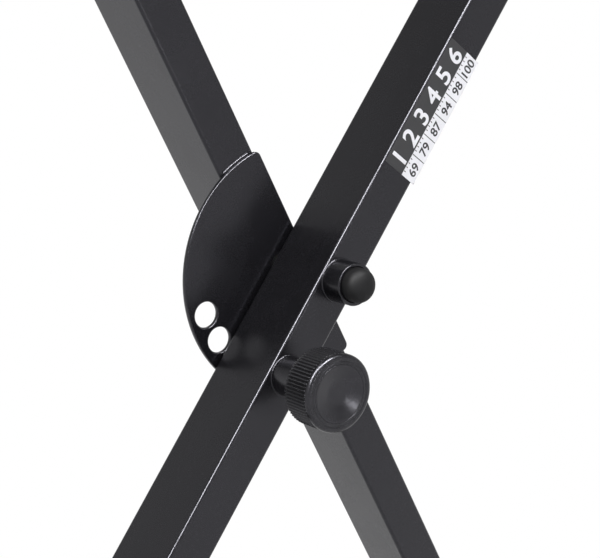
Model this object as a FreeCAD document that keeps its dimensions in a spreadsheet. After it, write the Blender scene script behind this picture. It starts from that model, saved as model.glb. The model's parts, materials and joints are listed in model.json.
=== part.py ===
import FreeCAD, Part

import os
import re

import Sketcher
from FreeCAD import Placement, Rotation, Vector

# An X-frame keyboard stand. +Z is up, -Y is the side with the lock knob, and the origin lies on the floor
# under the middle of the stand. The pivot axis runs along Y.

# Driving sizes, in millimetres and degrees
SIZES = {
    # Crossed tubes
    "tube_width": 25.0,
    "tube_depth": 45.0,
    "tube_wall": 1.2,
    "tube_corner": 1.8,
    "tube_reach": 472.5,
    "open_half_angle": 32.0,
    # Clearances
    "face_gap": 0.05,
    "seat_clearance": 0.05,
    "running_clearance": 0.05,
    "free_clearance": 0.3,
    "overrun": 2.0,
    # Pivot
    "friction_washer_diameter": 20.0,
    "friction_washer_thickness": 2.0,
    "pivot_bolt_diameter": 10.0,
    "pivot_bolt_chamfer": 1.0,
    "pivot_head_diameter": 16.0,
    "pivot_head_height": 10.0,
    "pivot_socket_flats": 8.0,
    "pivot_socket_depth": 5.0,
    "pivot_washer_thickness": 1.6,
    "pivot_washer_rim": 1.4,
    "pivot_tube_diameter": 18.0,
    "bush_wall": 1.9,
    "bush_length": 14.0,
    "rear_washer_diameter": 20.0,
    "nut_flats": 17.0,
    "nut_height": 8.0,
    "nut_collar_diameter": 15.0,
    "nut_collar_height": 2.8,
    "nut_ring_wall": 1.4,
    "nut_ring_height": 2.4,
    "thread_end": 2.0,
    "pivot_sleeve_diameter": 23.4,
    "pivot_sleeve_wall": 1.9,
    "pivot_sleeve_length": 14.3,
    "pivot_sleeve_bevel": 0.6,
    "plug_clearance": 0.3,
    "plug_head_gap": 0.4,
    "plug_height": 9.2,
    "plug_round": 8.0,
    # Locking plate
    "plate_thickness": 3.0,
    "plate_radius": 74.0,
    "plate_arc_inset": 3.5,
    "plate_arc_drop": 3.8,
    "plate_lip": 1.9,
    "plate_foot": 68.0,
    "plate_corner": 3.5,
    "plate_heel_round": 12.0,
    "lock_reach": 59.0,
    "lock_step": 17.0,
    "lock_hole_play": 0.4,
    # Lock pin, sleeve and spring
    "pin_nose_diameter": 13.9,
    "pin_nose_chamfer": 1.5,
    "pin_setback": 2.2,
    "pin_shoulder": 4.0,
    "pin_shank_diameter": 8.0,
    "pin_neck_diameter": 6.0,
    "pin_groove_depth": 0.6,
    "pin_end": 1.2,
    "lock_sleeve_diameter": 22.0,
    "lock_sleeve_wall": 2.8,
    "lock_sleeve_length": 26.6,
    "lock_sleeve_bevel": 0.8,
    "retainer_height": 5.0,
    "spring_diameter": 13.6,
    "spring_wire": 1.2,
    "spring_turns": 7,
    "spring_end_gap": 0.1,
    "clip_diameter": 9.6,
    "clip_thickness": 0.8,
    # Lock knob
    "knob_diameter": 41.8,
    "knob_back": 24.4,
    "knob_length": 20.4,
    "knob_bevel": 0.8,
    "knob_round": 2.2,
    "knob_rib_length": 18.0,
    "knob_ribs": 70,
    "knob_groove_radius": 0.8,
    "knob_groove_depth": 0.65,
    "knob_recess_depth": 9.5,
    "knob_web": 5.0,
    "knob_pocket_radius": 9.0,
    "knob_cap_radius": 15.6,
    "knob_cap_height": 3.2,
    "knob_dish_depth": 2.0,
    "knob_cap_rim": 1.0,
    "insert_wall": 2.4,
    # End plates
    "end_plate_thickness": 4.0,
    "end_plate_margin": 1.0,
    "end_plate_wing": 25.5,
    "end_plate_corner": 4.0,
    # Foot bars and arm bars
    "bar_width": 30.0,
    "bar_wall": 1.2,
    "bar_corner": 2.5,
    "foot_bar_length": 470.0,
    "arm_bar_length": 350.0,
    # Fasteners of the bars
    "bar_bolt_diameter": 8.0,
    "bar_bolt_play": 0.25,
    "bar_bolt_stand_off": 13.5,
    "bar_bolt_tail": 2.0,
    "bar_head_flats": 13.0,
    "bar_head_height": 5.3,
    "bar_washer_diameter": 16.0,
    "bar_washer_thickness": 1.6,
    "bar_nut_flats": 14.0,
    "bar_nut_height": 6.5,
    # Rubber caps of the bars
    "cap_wall": 2.4,
    "cap_end": 4.0,
    "cap_clearance": 0.1,
    "cap_round": 1.6,
    "foot_cap_length": 45.0,
    "arm_cap_length": 62.0,
}

# Distances worked out from the driving sizes, written with their names
GAP = "(friction_washer_thickness + face_gap + plate_thickness)"
TUBE_MIDDLE = f"({GAP} / 2 + tube_depth / 2)"
TUBE_FACE = f"({GAP} / 2 + tube_depth)"
FOOT_STACK = "(cap_wall + cap_clearance + bar_width + end_plate_thickness)"
PIVOT_HEIGHT = f"({FOOT_STACK} + tube_reach * cos(open_half_angle))"
LOCK_ACROSS = "(0 - lock_reach * sin(open_half_angle))"
LOCK_HEIGHT = f"({PIVOT_HEIGHT} - lock_reach * cos(open_half_angle))"
PIN_TIP = "(pin_setback - tube_depth - friction_washer_thickness - face_gap)"
RETAINER_BACK = "(lock_sleeve_length - retainer_height)"
KNOB_FRONT = "(knob_back + knob_length)"
RECESS_END = "(knob_back + knob_recess_depth)"
WEB_END = "(knob_back + knob_recess_depth + knob_web)"
CAP_SEAT = f"({KNOB_FRONT} - knob_cap_height)"
CLIP_BACK = f"({WEB_END} + face_gap)"
CLIP_FRONT = f"({CLIP_BACK} + clip_thickness)"
INSERT_RADIUS = "(pin_neck_diameter / 2 + running_clearance + insert_wall)"
HEAD_SEAT = f"({TUBE_FACE} + face_gap + pivot_washer_thickness)"
HEAD_TOP = f"({HEAD_SEAT} + pivot_head_height)"
NUT_SEAT = f"({TUBE_FACE} + pivot_washer_thickness)"
BOLT_END = f"({NUT_SEAT} + nut_height + nut_collar_height + thread_end)"
BAR_BOLT_SPREAD = "(tube_depth / 2 + bar_bolt_stand_off)"
HEX_SIDES = 6
HALF_TURN = 180
QUARTER_TURN = 90

X_AXIS = Vector(1, 0, 0)
Y_AXIS = Vector(0, 1, 0)
Z_AXIS = Vector(0, 0, 1)
# Turned pieces stand on Z and are laid down with their top towards -Y or towards +Y
TO_FRONT = Rotation(X_AXIS, QUARTER_TURN)
TO_REAR = Rotation(X_AXIS, -QUARTER_TURN)

doc = FreeCAD.newDocument("keyboard_stand")
sheet = doc.addObject("Spreadsheet::Sheet", "Sizes")
for row, (name, size) in enumerate(SIZES.items(), start=1):
    sheet.set(f"A{row}", name.replace("_", " "))
    sheet.set(f"B{row}", str(size))
    sheet.setAlias(f"B{row}", name)
doc.recompute()

nodes = []


# Reading and binding sizes
def linked(text):
    """Write a sum of size names as an expression on the sheet."""
    def on_sheet(word):
        return f"Sizes.{word.group()}" if word.group() in SIZES else word.group()

    return re.sub(r"[a-z_]+", on_sheet, text)


def number(text):
    """Work out a sum of size names."""
    return float(sheet.evalExpression(linked(text)))


def bind(item, **sizes):
    """Tie properties of an object to sums of size names."""
    for name, text in sizes.items():
        item.setExpression(name, linked(text))
    return item


def place(item, across="0", along="0", up="0", rotation=None):
    """Put an object at a point given by sums of size names, turned by a rotation."""
    item.Placement = Placement(Vector(), rotation or Rotation())
    for axis, text in (("x", across), ("y", along), ("z", up)):
        item.setExpression(f"Placement.Base.{axis}", linked(text))
    return item


def finish(item, label):
    """Give an object its node name and list it as a sub-part."""
    item.Label = label
    nodes.append(item)
    return item


# Sketches
def sketch(body, plane, name, lift=None):
    """Add a sketch on one of the body's own planes, lifted along its normal."""
    drawing = body.newObject("Sketcher::SketchObject", name)
    support = next(item for item in body.Origin.OriginFeatures if item.Role == plane)
    drawing.AttachmentSupport = [(support, "")]
    drawing.MapMode = "FlatFace"
    if lift:
        drawing.setExpression("AttachmentOffset.Base.z", linked(lift))
    return drawing


def dimension(drawing, kind, references, text):
    """Add a dimension that follows the sheet."""
    row = drawing.addConstraint(Sketcher.Constraint(kind, *references, number(text)))
    drawing.setExpression(f"Constraints[{row}]", linked(text))


def pin_point(drawing, shape, point, across, up):
    """Hold a point of a sketch at a distance from the sketch's origin, with zero held on the axis."""
    for kind, axis, text in (("DistanceX", -2, across), ("DistanceY", -1, up)):
        size = number(text)
        if size > 0:
            dimension(drawing, kind, (-1, 1, shape, point), text)
        elif size < 0:
            dimension(drawing, kind, (shape, point, -1, 1), f"0 - ({text})")
        else:
            drawing.addConstraint(Sketcher.Constraint("PointOnObject", shape, point, axis))


def circle(drawing, radius, across="0", up="0"):
    """Draw a circle whose centre is held from the origin."""
    centre = Vector(number(across), number(up), 0)
    shape = drawing.addGeometry(Part.Circle(centre, Z_AXIS, number(radius)), False)
    pin_point(drawing, shape, 3, across, up)
    dimension(drawing, "Radius", (shape,), radius)


def polygon(drawing, corners):
    """Draw a closed outline of straight lines through corners given as sums of size names."""
    points = [Vector(number(across), number(up), 0) for across, up in corners]
    lines = [
        drawing.addGeometry(Part.LineSegment(start, points[(index + 1) % len(points)]), False)
        for index, start in enumerate(points)
    ]
    for index, line in enumerate(lines):
        drawing.addConstraint(Sketcher.Constraint("Coincident", line, 1, lines[index - 1], 2))
        pin_point(drawing, line, 1, *corners[index])


def rounded_rectangle(drawing, width, height, corner):
    """Draw a rectangle with round corners about the origin."""
    radius = number(corner)
    inner_x = number(width) / 2 - radius
    inner_y = number(height) / 2 - radius
    lines = []
    arcs = []
    for quarter in range(4):
        turn = Rotation(Z_AXIS, QUARTER_TURN * quarter)
        reach, side = (inner_y, inner_x) if quarter % 2 == 0 else (inner_x, inner_y)
        start = turn.multVec(Vector(-side, -reach - radius, 0))
        end = turn.multVec(Vector(side, -reach - radius, 0))
        centre = turn.multVec(Vector(side, -reach, 0))
        round_end = Part.Circle(centre, Z_AXIS, radius)
        first = (quarter - 1) * QUARTER_TURN
        arc = Part.ArcOfCircle(round_end, number(f"0 + {first} * pi / {HALF_TURN}"),
                               number(f"0 + {first + QUARTER_TURN} * pi / {HALF_TURN}"))
        lines.append(drawing.addGeometry(Part.LineSegment(start, end), False))
        arcs.append(drawing.addGeometry(arc, False))
    for quarter in range(4):
        following = (quarter + 1) % 4
        drawing.addConstraint(Sketcher.Constraint("Tangent", lines[quarter], 2, arcs[quarter], 1))
        drawing.addConstraint(Sketcher.Constraint("Tangent", arcs[quarter], 2, lines[following], 1))
        kind = "Horizontal" if quarter % 2 == 0 else "Vertical"
        drawing.addConstraint(Sketcher.Constraint(kind, lines[quarter]))
    for quarter in range(1, 4):
        drawing.addConstraint(Sketcher.Constraint("Equal", arcs[0], arcs[quarter]))
    drawing.addConstraint(Sketcher.Constraint("Symmetric", arcs[0], 3, arcs[2], 3, -1, 1))
    dimension(drawing, "DistanceX", (arcs[3], 3, arcs[0], 3), f"{width} - 2 * {corner}")
    dimension(drawing, "DistanceY", (arcs[0], 3, arcs[1], 3), f"{height} - 2 * {corner}")
    dimension(drawing, "Radius", (arcs[0],), corner)


# Features
def pad(body, drawing, length, side="One side"):
    """Pad a sketch along its normal."""
    feature = body.newObject("PartDesign::Pad", f"{drawing.Name}_pad")
    feature.Profile = drawing
    feature.SideType = side
    return bind(feature, Length=length)


def pocket(body, drawing, length=None, along_normal=False):
    """Cut a sketch to a depth behind it or along its normal, or right through to both sides."""
    doc.recompute()
    before = body.Shape.Volume
    feature = body.newObject("PartDesign::Pocket", f"{drawing.Name}_pocket")
    feature.Profile = drawing
    if length:
        feature.Reversed = along_normal
        bind(feature, Length=length)
    else:
        feature.Type = "ThroughAll"
        feature.SideType = "Symmetric"
    doc.recompute()
    if body.Shape.Volume >= before:
        raise RuntimeError(f"{feature.Name} removes nothing")
    return feature


def edges_like(shape, test):
    """Name the edges whose two ends pass a test."""
    return [
        f"Edge{index}"
        for index, edge in enumerate(shape.Edges, start=1)
        if edge.Length > 0 and all(test(vertex.Point) for vertex in edge.Vertexes)
    ]


def fillet(body, feature, edges, radius):
    """Round named edges of a feature."""
    rounding = body.newObject("PartDesign::Fillet", f"{feature.Name}_round")
    rounding.Base = (feature, edges)
    bind(rounding, Radius=radius)
    doc.recompute()
    return rounding


def polar(body, feature, axis, angle, count, reverse=False):
    """Repeat a feature about one of the body's own axes."""
    pattern = body.newObject("PartDesign::PolarPattern", f"{feature.Name}_pattern")
    pattern.Originals = [feature]
    pattern.Axis = (next(item for item in body.Origin.OriginFeatures if item.Role == axis), [""])
    pattern.Reversed = reverse
    bind(pattern, Angle=angle, Occurrences=count)
    body.Tip = pattern
    doc.recompute()
    return pattern


def new_body(label):
    """Start a body that becomes the sub-part of this name."""
    return finish(doc.addObject("PartDesign::Body", label), label)


def turned(label, corners):
    """Turn a closed outline of (radius, height) corners about Z."""
    body = new_body(label)
    drawing = sketch(body, "XZ_Plane", f"{label}_outline")
    polygon(drawing, corners)
    feature = body.newObject("PartDesign::Revolution", f"{label}_turned")
    feature.Profile = drawing
    feature.ReferenceAxis = (drawing, ["V_Axis"])
    doc.recompute()
    return body, feature


def ring(label, bore, radius, start, end):
    """Turn a plain ring between two heights."""
    body, _ = turned(label, [(bore, start), (radius, start), (radius, end), (bore, end)])
    return body


def primitive(kind, name, up="0", along="0", **sizes):
    """Add a primitive solid standing on Z at a height and a distance along Y."""
    return place(bind(doc.addObject(f"Part::{kind}", name), **sizes), along=along, up=up)


def cut(base, tool, name):
    """Cut one solid from another."""
    result = doc.addObject("Part::Cut", name)
    result.Base = base
    result.Tool = tool
    return result


def fuse(pieces, name):
    """Join solids into one."""
    result = doc.addObject("Part::MultiFuse", name)
    result.Shapes = pieces
    return result


def hexagon(name, flats, height, up="0", along="0"):
    """Add a hexagonal prism of a width across flats."""
    radius = f"{flats} / 2 / cos({HALF_TURN} / {HEX_SIDES})"
    prism = primitive("Prism", name, up, along, Circumradius=radius, Height=height)
    prism.Polygon = HEX_SIDES
    return prism


def group(label, pieces):
    """Hold identical fasteners as one sub-part."""
    result = doc.addObject("Part::Compound", f"{label}_group")
    result.Links = pieces
    return finish(result, label)


# Crossed tubes
def frame_tube(label, with_lock):
    """Build a tube along Z with the pivot at its middle and ends that are level when the stand is open."""
    body = new_body(label)
    section = sketch(body, "XY_Plane", f"{label}_section")
    rounded_rectangle(section, "tube_width", "tube_depth", "tube_corner")
    rounded_rectangle(section, "(tube_width - 2 * tube_wall)", "(tube_depth - 2 * tube_wall)",
                      "(tube_corner - tube_wall)")
    pad(body, section, "2 * (tube_reach + tube_width / 2 * tan(open_half_angle))", "Symmetric")
    rise = "tube_width * tan(open_half_angle)"
    mitres = sketch(body, "XZ_Plane", f"{label}_mitres")
    polygon(mitres, [("0 - tube_width", f"tube_reach - {rise}"), ("tube_width", f"tube_reach + {rise}"),
                     ("0 - tube_width", f"tube_reach + {rise}")])
    polygon(mitres, [("0 - tube_width", f"0 - tube_reach - {rise}"),
                     ("tube_width", f"0 - tube_reach - {rise}"), ("tube_width", f"{rise} - tube_reach")])
    pocket(body, mitres)
    holes = sketch(body, "XZ_Plane", f"{label}_holes")
    circle(holes, "pivot_tube_diameter / 2 + seat_clearance")
    if with_lock:
        circle(holes, "pin_nose_diameter / 2 + running_clearance", up="0 - lock_reach")
    pocket(body, holes)
    return body


open_angle = number("open_half_angle")
front_turn = Rotation(Y_AXIS, open_angle)
plate_turn = Rotation(Y_AXIS, -open_angle)
rear_turn = plate_turn.multiply(Rotation(Z_AXIS, HALF_TURN))
place(frame_tube("front_tube", True), along=f"0 - {TUBE_MIDDLE}", up=PIVOT_HEIGHT, rotation=front_turn)
place(frame_tube("rear_tube", False), along=TUBE_MIDDLE, up=PIVOT_HEIGHT, rotation=rear_turn)


# Locking plate: a disc with a straight edge and a straight foot, and a row of pin holes about the pivot
def lock_plate():
    body = new_body("lock_plate")
    disc = sketch(body, "XZ_Plane", "lock_plate_disc")
    circle(disc, "plate_radius", "plate_arc_inset", "0 - plate_arc_drop")
    pad(body, disc, "plate_thickness", "Symmetric")
    straight = sketch(body, "XZ_Plane", "lock_plate_edges")
    edge = "(tube_width / 2 + plate_lip)"
    foot = "(0 - plate_foot)"
    beyond = "(plate_radius + plate_arc_inset + plate_arc_drop + overrun)"
    polygon(straight, [(f"0 - {beyond}", f"0 - {beyond}"), (beyond, f"0 - {beyond}"), (beyond, beyond),
                       (edge, beyond), (edge, foot), (f"0 - {beyond}", foot)])
    straight_cut = pocket(body, straight)
    tip = f"sqrt(plate_radius ^ 2 - ({edge} - plate_arc_inset) ^ 2) - plate_arc_drop"
    heel = "plate_arc_inset - sqrt(plate_radius ^ 2 - (plate_foot - plate_arc_drop) ^ 2)"

    def corner_edges(shape, across, up):
        corner = Vector(number(across), 0, number(up))
        return edges_like(shape, lambda point: point.distanceToPoint(corner) < number("plate_thickness"))

    corners = corner_edges(straight_cut.Shape, edge, tip) + corner_edges(straight_cut.Shape, edge, foot)
    rounded = fillet(body, straight_cut, corners, "plate_corner")
    fillet(body, rounded, corner_edges(rounded.Shape, heel, foot), "plate_heel_round")
    pivot_hole = sketch(body, "XZ_Plane", "lock_plate_pivot_hole")
    circle(pivot_hole, "pivot_bolt_diameter / 2 + seat_clearance")
    pocket(body, pivot_hole)
    # The lowest setting comes first, two steps before the hole that the pin faces with the stand as shown
    first_hole = sketch(body, "XZ_Plane", "lock_plate_pin_hole")
    first_angle = f"({QUARTER_TURN} - 2 * open_half_angle - 2 * lock_step)"
    circle(first_hole, "pin_nose_diameter / 2 + lock_hole_play", f"0 - lock_reach * cos({first_angle})",
           f"0 - lock_reach * sin({first_angle})")
    polar(body, pocket(body, first_hole), "Y_Axis", "5 * lock_step", "6", reverse=True)
    return body


place(lock_plate(), along=f"{GAP} / 2 - plate_thickness / 2", up=PIVOT_HEIGHT, rotation=plate_turn)


# Pivot: heights run from the middle of the gap between the tubes towards -Y
def at_pivot(item, rotation=TO_FRONT):
    return place(item, up=PIVOT_HEIGHT, rotation=rotation)


BOLT_RADIUS = "pivot_bolt_diameter / 2"
BOLT_HOLE = f"({BOLT_RADIUS} + seat_clearance)"
NUT_RING_RADIUS = f"({BOLT_HOLE} + nut_ring_wall)"
BUSH_BORE = f"({BOLT_RADIUS} + running_clearance)"
BUSH_RADIUS = f"({BUSH_BORE} + bush_wall)"
at_pivot(ring("friction_washer", f"{BOLT_RADIUS} + free_clearance", "friction_washer_diameter / 2",
              f"{GAP} / 2 - friction_washer_thickness", f"{GAP} / 2"))
at_pivot(ring("front_pivot_tube", f"{BUSH_RADIUS} + seat_clearance", "pivot_tube_diameter / 2",
              f"{GAP} / 2", TUBE_FACE))
at_pivot(ring("rear_pivot_tube", BOLT_HOLE, "pivot_tube_diameter / 2", f"{GAP} / 2", TUBE_FACE), TO_REAR)


def bush(name, start):
    """A plastic sleeve in one end of the front pivot tube."""
    outer = primitive("Cylinder", f"{name}_outer", start, Radius=BUSH_RADIUS, Height="bush_length")
    inner = primitive("Cylinder", f"{name}_bore", f"{start} - overrun", Radius=BUSH_BORE,
                      Height="bush_length + 2 * overrun")
    return cut(outer, inner, name)


at_pivot(group("front_pivot_bushes", [bush("rear_bush", f"{GAP} / 2"),
                                      bush("front_bush", f"{TUBE_FACE} - bush_length")]))
at_pivot(ring("pivot_head_washer", BOLT_HOLE, "pivot_head_diameter / 2 + pivot_washer_rim",
              f"{TUBE_FACE} + face_gap", HEAD_SEAT))
at_pivot(ring("pivot_rear_washer", BOLT_HOLE, "rear_washer_diameter / 2", TUBE_FACE, NUT_SEAT), TO_REAR)


def pivot_bolt():
    """A socket-head bolt from the sleeve to behind the nut."""
    head_radius = "pivot_head_diameter / 2"
    body, _ = turned("pivot_bolt_blank", [
        ("0", f"0 - {BOLT_END}"), (f"{BOLT_RADIUS} - pivot_bolt_chamfer", f"0 - {BOLT_END}"),
        (BOLT_RADIUS, f"pivot_bolt_chamfer - {BOLT_END}"), (BOLT_RADIUS, HEAD_SEAT),
        (head_radius, HEAD_SEAT), (head_radius, HEAD_TOP), ("0", HEAD_TOP),
    ])
    nodes.remove(body)
    socket = hexagon("pivot_socket", "pivot_socket_flats", "pivot_socket_depth + overrun",
                     f"{HEAD_TOP} - pivot_socket_depth")
    return finish(cut(body, socket, "pivot_bolt_cut"), "pivot_bolt")


def pivot_nut():
    """A lock nut whose collar holds a nylon ring."""
    collar_foot = f"{NUT_SEAT} + nut_height"
    outside = fuse([
        hexagon("nut_hexagon", "nut_flats", "nut_height", NUT_SEAT),
        primitive("Cylinder", "nut_collar", collar_foot, Radius="nut_collar_diameter / 2",
                  Height="nut_collar_height"),
    ], "nut_outside")
    inside = fuse([
        primitive("Cylinder", "nut_thread", f"{NUT_SEAT} - overrun", Radius=BOLT_HOLE,
                  Height="nut_height + nut_collar_height + 2 * overrun"),
        primitive("Cylinder", "nut_ring_seat", collar_foot, Height="nut_collar_height + overrun",
                  Radius=f"{NUT_RING_RADIUS} + seat_clearance"),
    ], "nut_inside")
    return finish(cut(outside, inside, "pivot_nut_cut"), "pivot_nut")


at_pivot(pivot_bolt())
at_pivot(pivot_nut(), TO_REAR)
at_pivot(ring("pivot_nut_ring", BOLT_HOLE, NUT_RING_RADIUS, f"{NUT_SEAT} + nut_height",
              f"{NUT_SEAT} + nut_height + nut_ring_height"), TO_REAR)


# Pivot sleeve and its dome plug: heights run from the front tube's face towards -Y
def at_face(item, across="0", up=PIVOT_HEIGHT):
    return place(item, across=across, along=f"0 - {TUBE_FACE}", up=up, rotation=TO_FRONT)


SLEEVE_RADIUS = "pivot_sleeve_diameter / 2"
SLEEVE_BORE = "(pivot_sleeve_diameter / 2 - pivot_sleeve_wall)"
pivot_sleeve, _ = turned("pivot_sleeve", [
    (SLEEVE_BORE, "0"), (SLEEVE_RADIUS, "0"), (SLEEVE_RADIUS, "pivot_sleeve_length - pivot_sleeve_bevel"),
    (f"{SLEEVE_RADIUS} - pivot_sleeve_bevel", "pivot_sleeve_length"), (SLEEVE_BORE, "pivot_sleeve_length"),
])
at_face(pivot_sleeve)

PLUG_RADIUS = f"({SLEEVE_BORE} - plug_clearance)"
PLUG_FOOT = f"({HEAD_TOP} - {TUBE_FACE} + plug_head_gap)"
plug, plug_blank = turned("pivot_plug", [
    ("0", PLUG_FOOT), (PLUG_RADIUS, PLUG_FOOT),
    (PLUG_RADIUS, "pivot_sleeve_length + plug_height"), ("0", "pivot_sleeve_length + plug_height"),
])
plug_top = number("pivot_sleeve_length + plug_height")
plug_rim = edges_like(
    plug_blank.Shape,
    lambda point: abs(point.z - plug_top) < number("face_gap") and abs(point.x) > number(PLUG_RADIUS) / 2,
)
fillet(plug, plug_blank, plug_rim, "plug_round")
at_face(plug)

# Lock: sleeve, retainer, spring, pin and clip
LOCK_BORE = "(lock_sleeve_diameter / 2 - lock_sleeve_wall)"


def at_lock(item):
    return at_face(item, LOCK_ACROSS, LOCK_HEIGHT)


lock_sleeve, _ = turned("lock_sleeve", [
    (LOCK_BORE, "0"), ("lock_sleeve_diameter / 2", "0"),
    ("lock_sleeve_diameter / 2", "lock_sleeve_length - lock_sleeve_bevel"),
    ("lock_sleeve_diameter / 2 - lock_sleeve_bevel", "lock_sleeve_length"), (LOCK_BORE, "lock_sleeve_length"),
])
at_lock(lock_sleeve)
at_lock(ring("lock_retainer", "pin_shank_diameter / 2 + free_clearance", f"{LOCK_BORE} - seat_clearance",
             RETAINER_BACK, "lock_sleeve_length"))

NOSE_RADIUS = "pin_nose_diameter / 2"
SHANK_RADIUS = "pin_shank_diameter / 2"
NECK_RADIUS = "pin_neck_diameter / 2"
GROOVE_RADIUS = "(pin_neck_diameter / 2 - pin_groove_depth)"
lock_pin, _ = turned("lock_pin", [
    ("0", PIN_TIP), (f"{NOSE_RADIUS} - pin_nose_chamfer", PIN_TIP),
    (NOSE_RADIUS, f"{PIN_TIP} + pin_nose_chamfer"), (NOSE_RADIUS, "pin_shoulder"),
    (SHANK_RADIUS, "pin_shoulder"), (SHANK_RADIUS, f"{RECESS_END} - face_gap"),
    (NECK_RADIUS, f"{RECESS_END} - face_gap"), (NECK_RADIUS, CLIP_BACK),
    (GROOVE_RADIUS, CLIP_BACK), (GROOVE_RADIUS, f"{CLIP_FRONT} + face_gap"),
    (NECK_RADIUS, f"{CLIP_FRONT} + face_gap"), (NECK_RADIUS, f"{CLIP_FRONT} + pin_end"),
    ("0", f"{CLIP_FRONT} + pin_end"),
])
at_lock(lock_pin)
at_lock(ring("pin_clip", f"{GROOVE_RADIUS} + seat_clearance", "clip_diameter / 2", CLIP_BACK, CLIP_FRONT))


def lock_spring():
    """A coil spring between the pin's shoulder and the retainer."""
    body = new_body("lock_spring")
    section = sketch(body, "XZ_Plane", "lock_spring_section")
    start = "pin_shoulder + spring_end_gap + spring_wire / 2"
    circle(section, "spring_wire / 2", "spring_diameter / 2 - spring_wire / 2", start)
    coil = body.newObject("PartDesign::AdditiveHelix", "lock_spring_coil")
    coil.Profile = section
    coil.ReferenceAxis = (section, ["V_Axis"])
    coil.Mode = "height-turns-angle"
    bind(coil, Height=f"{RETAINER_BACK} - spring_end_gap - spring_wire / 2 - ({start})", Turns="spring_turns")
    return body


at_lock(lock_spring())


# Knob
def lock_knob():
    """A ribbed knob, hollow behind for the sleeve and in front for the clip and the cap."""
    recess_radius = "lock_sleeve_diameter / 2 + free_clearance"
    body, blank = turned("lock_knob", [
        (recess_radius, "knob_back"), ("knob_diameter / 2 - knob_bevel", "knob_back"),
        ("knob_diameter / 2", "knob_back + knob_bevel"), ("knob_diameter / 2", KNOB_FRONT),
        ("knob_cap_radius", KNOB_FRONT), ("knob_cap_radius", CAP_SEAT), ("knob_pocket_radius", CAP_SEAT),
        ("knob_pocket_radius", WEB_END), (f"{INSERT_RADIUS} + seat_clearance", WEB_END),
        (f"{INSERT_RADIUS} + seat_clearance", RECESS_END), (recess_radius, RECESS_END),
    ])
    front = number(KNOB_FRONT)
    rim = edges_like(
        blank.Shape,
        lambda point: abs(point.z - front) < number("face_gap") and point.Length > number("knob_back")
        and abs(point.x - number("knob_diameter / 2")) < number("face_gap"),
    )
    fillet(body, blank, rim, "knob_round")
    groove = sketch(body, "XY_Plane", "lock_knob_groove", "knob_back - overrun")
    circle(groove, "knob_groove_radius", "knob_diameter / 2 + knob_groove_radius - knob_groove_depth")
    groove_cut = pocket(body, groove, "knob_rib_length + overrun", along_normal=True)
    polar(body, groove_cut, "Z_Axis", f"2 * {HALF_TURN}", "knob_ribs")
    return body


at_lock(lock_knob())
at_lock(ring("knob_insert", "pin_neck_diameter / 2 + running_clearance", INSERT_RADIUS, RECESS_END, WEB_END))
DISC_RADIUS = "knob_cap_radius - seat_clearance"
knob_cap, _ = turned("knob_cap", [
    ("0", CAP_SEAT), (DISC_RADIUS, CAP_SEAT), (DISC_RADIUS, KNOB_FRONT),
    (f"{DISC_RADIUS} - knob_cap_rim", KNOB_FRONT), ("0", f"{KNOB_FRONT} - knob_dish_depth"),
])
at_lock(knob_cap)


# Tube ends: an end plate, a bar with two rubber caps and two bolts with washers and weld nuts.
# Heights run from the tube's level end outwards, upwards at an arm and downwards at a foot.
def end_plate(label):
    body = new_body(label)
    outline = sketch(body, "XY_Plane", f"{label}_outline")
    rounded_rectangle(outline, "(tube_width / cos(open_half_angle) + 2 * end_plate_margin)",
                      "(tube_depth + 2 * end_plate_wing)", "end_plate_corner")
    for side in ("", "0 - "):
        circle(outline, "bar_bolt_diameter / 2 + bar_bolt_play", up=f"{side}{BAR_BOLT_SPREAD}")
    pad(body, outline, "end_plate_thickness")
    return body


def bar(label, length, bolt_middle):
    """A square bar along Y about the origin, drilled twice in the wall that meets the end plate."""
    body = new_body(label)
    section = sketch(body, "XZ_Plane", f"{label}_section")
    rounded_rectangle(section, "bar_width", "bar_width", "bar_corner")
    rounded_rectangle(section, "(bar_width - 2 * bar_wall)", "(bar_width - 2 * bar_wall)",
                      "(bar_corner - bar_wall)")
    pad(body, section, length, "Symmetric")
    holes = sketch(body, "XY_Plane", f"{label}_holes")
    for side in ("+", "-"):
        circle(holes, "bar_bolt_diameter / 2 + bar_bolt_play", up=f"{bolt_middle} {side} {BAR_BOLT_SPREAD}")
    pocket(body, holes, "bar_width / 2 + overrun")
    return body


def rubber_cap(label, length):
    """A cap that slides over a bar's end: its mouth at the origin, its closed end up."""
    body = new_body(label)
    outside = sketch(body, "XY_Plane", f"{label}_outside")
    width = "(bar_width + 2 * cap_clearance + 2 * cap_wall)"
    rounded_rectangle(outside, width, width, "(bar_corner + cap_clearance + cap_wall)")
    block = pad(body, outside, f"{length} + cap_end")
    doc.recompute()
    end_height = number(f"{length} + cap_end")
    rim = edges_like(block.Shape, lambda point: abs(point.z - end_height) < number("face_gap"))
    fillet(body, block, rim, "cap_round")
    inside = sketch(body, "XY_Plane", f"{label}_inside")
    bore = "(bar_width + 2 * cap_clearance)"
    rounded_rectangle(inside, bore, bore, "(bar_corner + cap_clearance)")
    pocket(body, inside, length, along_normal=True)
    return body


def bar_bolt(name, along):
    """A hex bolt with its shank through the washer, the end plate, the bar's wall and the weld nut."""
    tail = "end_plate_thickness + bar_wall + bar_nut_height + bar_bolt_tail"
    head = hexagon(f"{name}_head", "bar_head_flats", "bar_head_height",
                   "0 - bar_washer_thickness - bar_head_height", along)
    shank = primitive("Cylinder", f"{name}_shank", "0 - bar_washer_thickness", along,
                      Radius="bar_bolt_diameter / 2", Height=f"bar_washer_thickness + {tail}")
    return fuse([head, shank], name)


def bar_washer(name, along):
    disc = primitive("Cylinder", f"{name}_disc", "0 - bar_washer_thickness", along,
                     Radius="bar_washer_diameter / 2", Height="bar_washer_thickness")
    hole = primitive("Cylinder", f"{name}_hole", "0 - bar_washer_thickness - overrun", along,
                     Radius="bar_bolt_diameter / 2 + bar_bolt_play",
                     Height="bar_washer_thickness + 2 * overrun")
    return cut(disc, hole, name)


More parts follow.
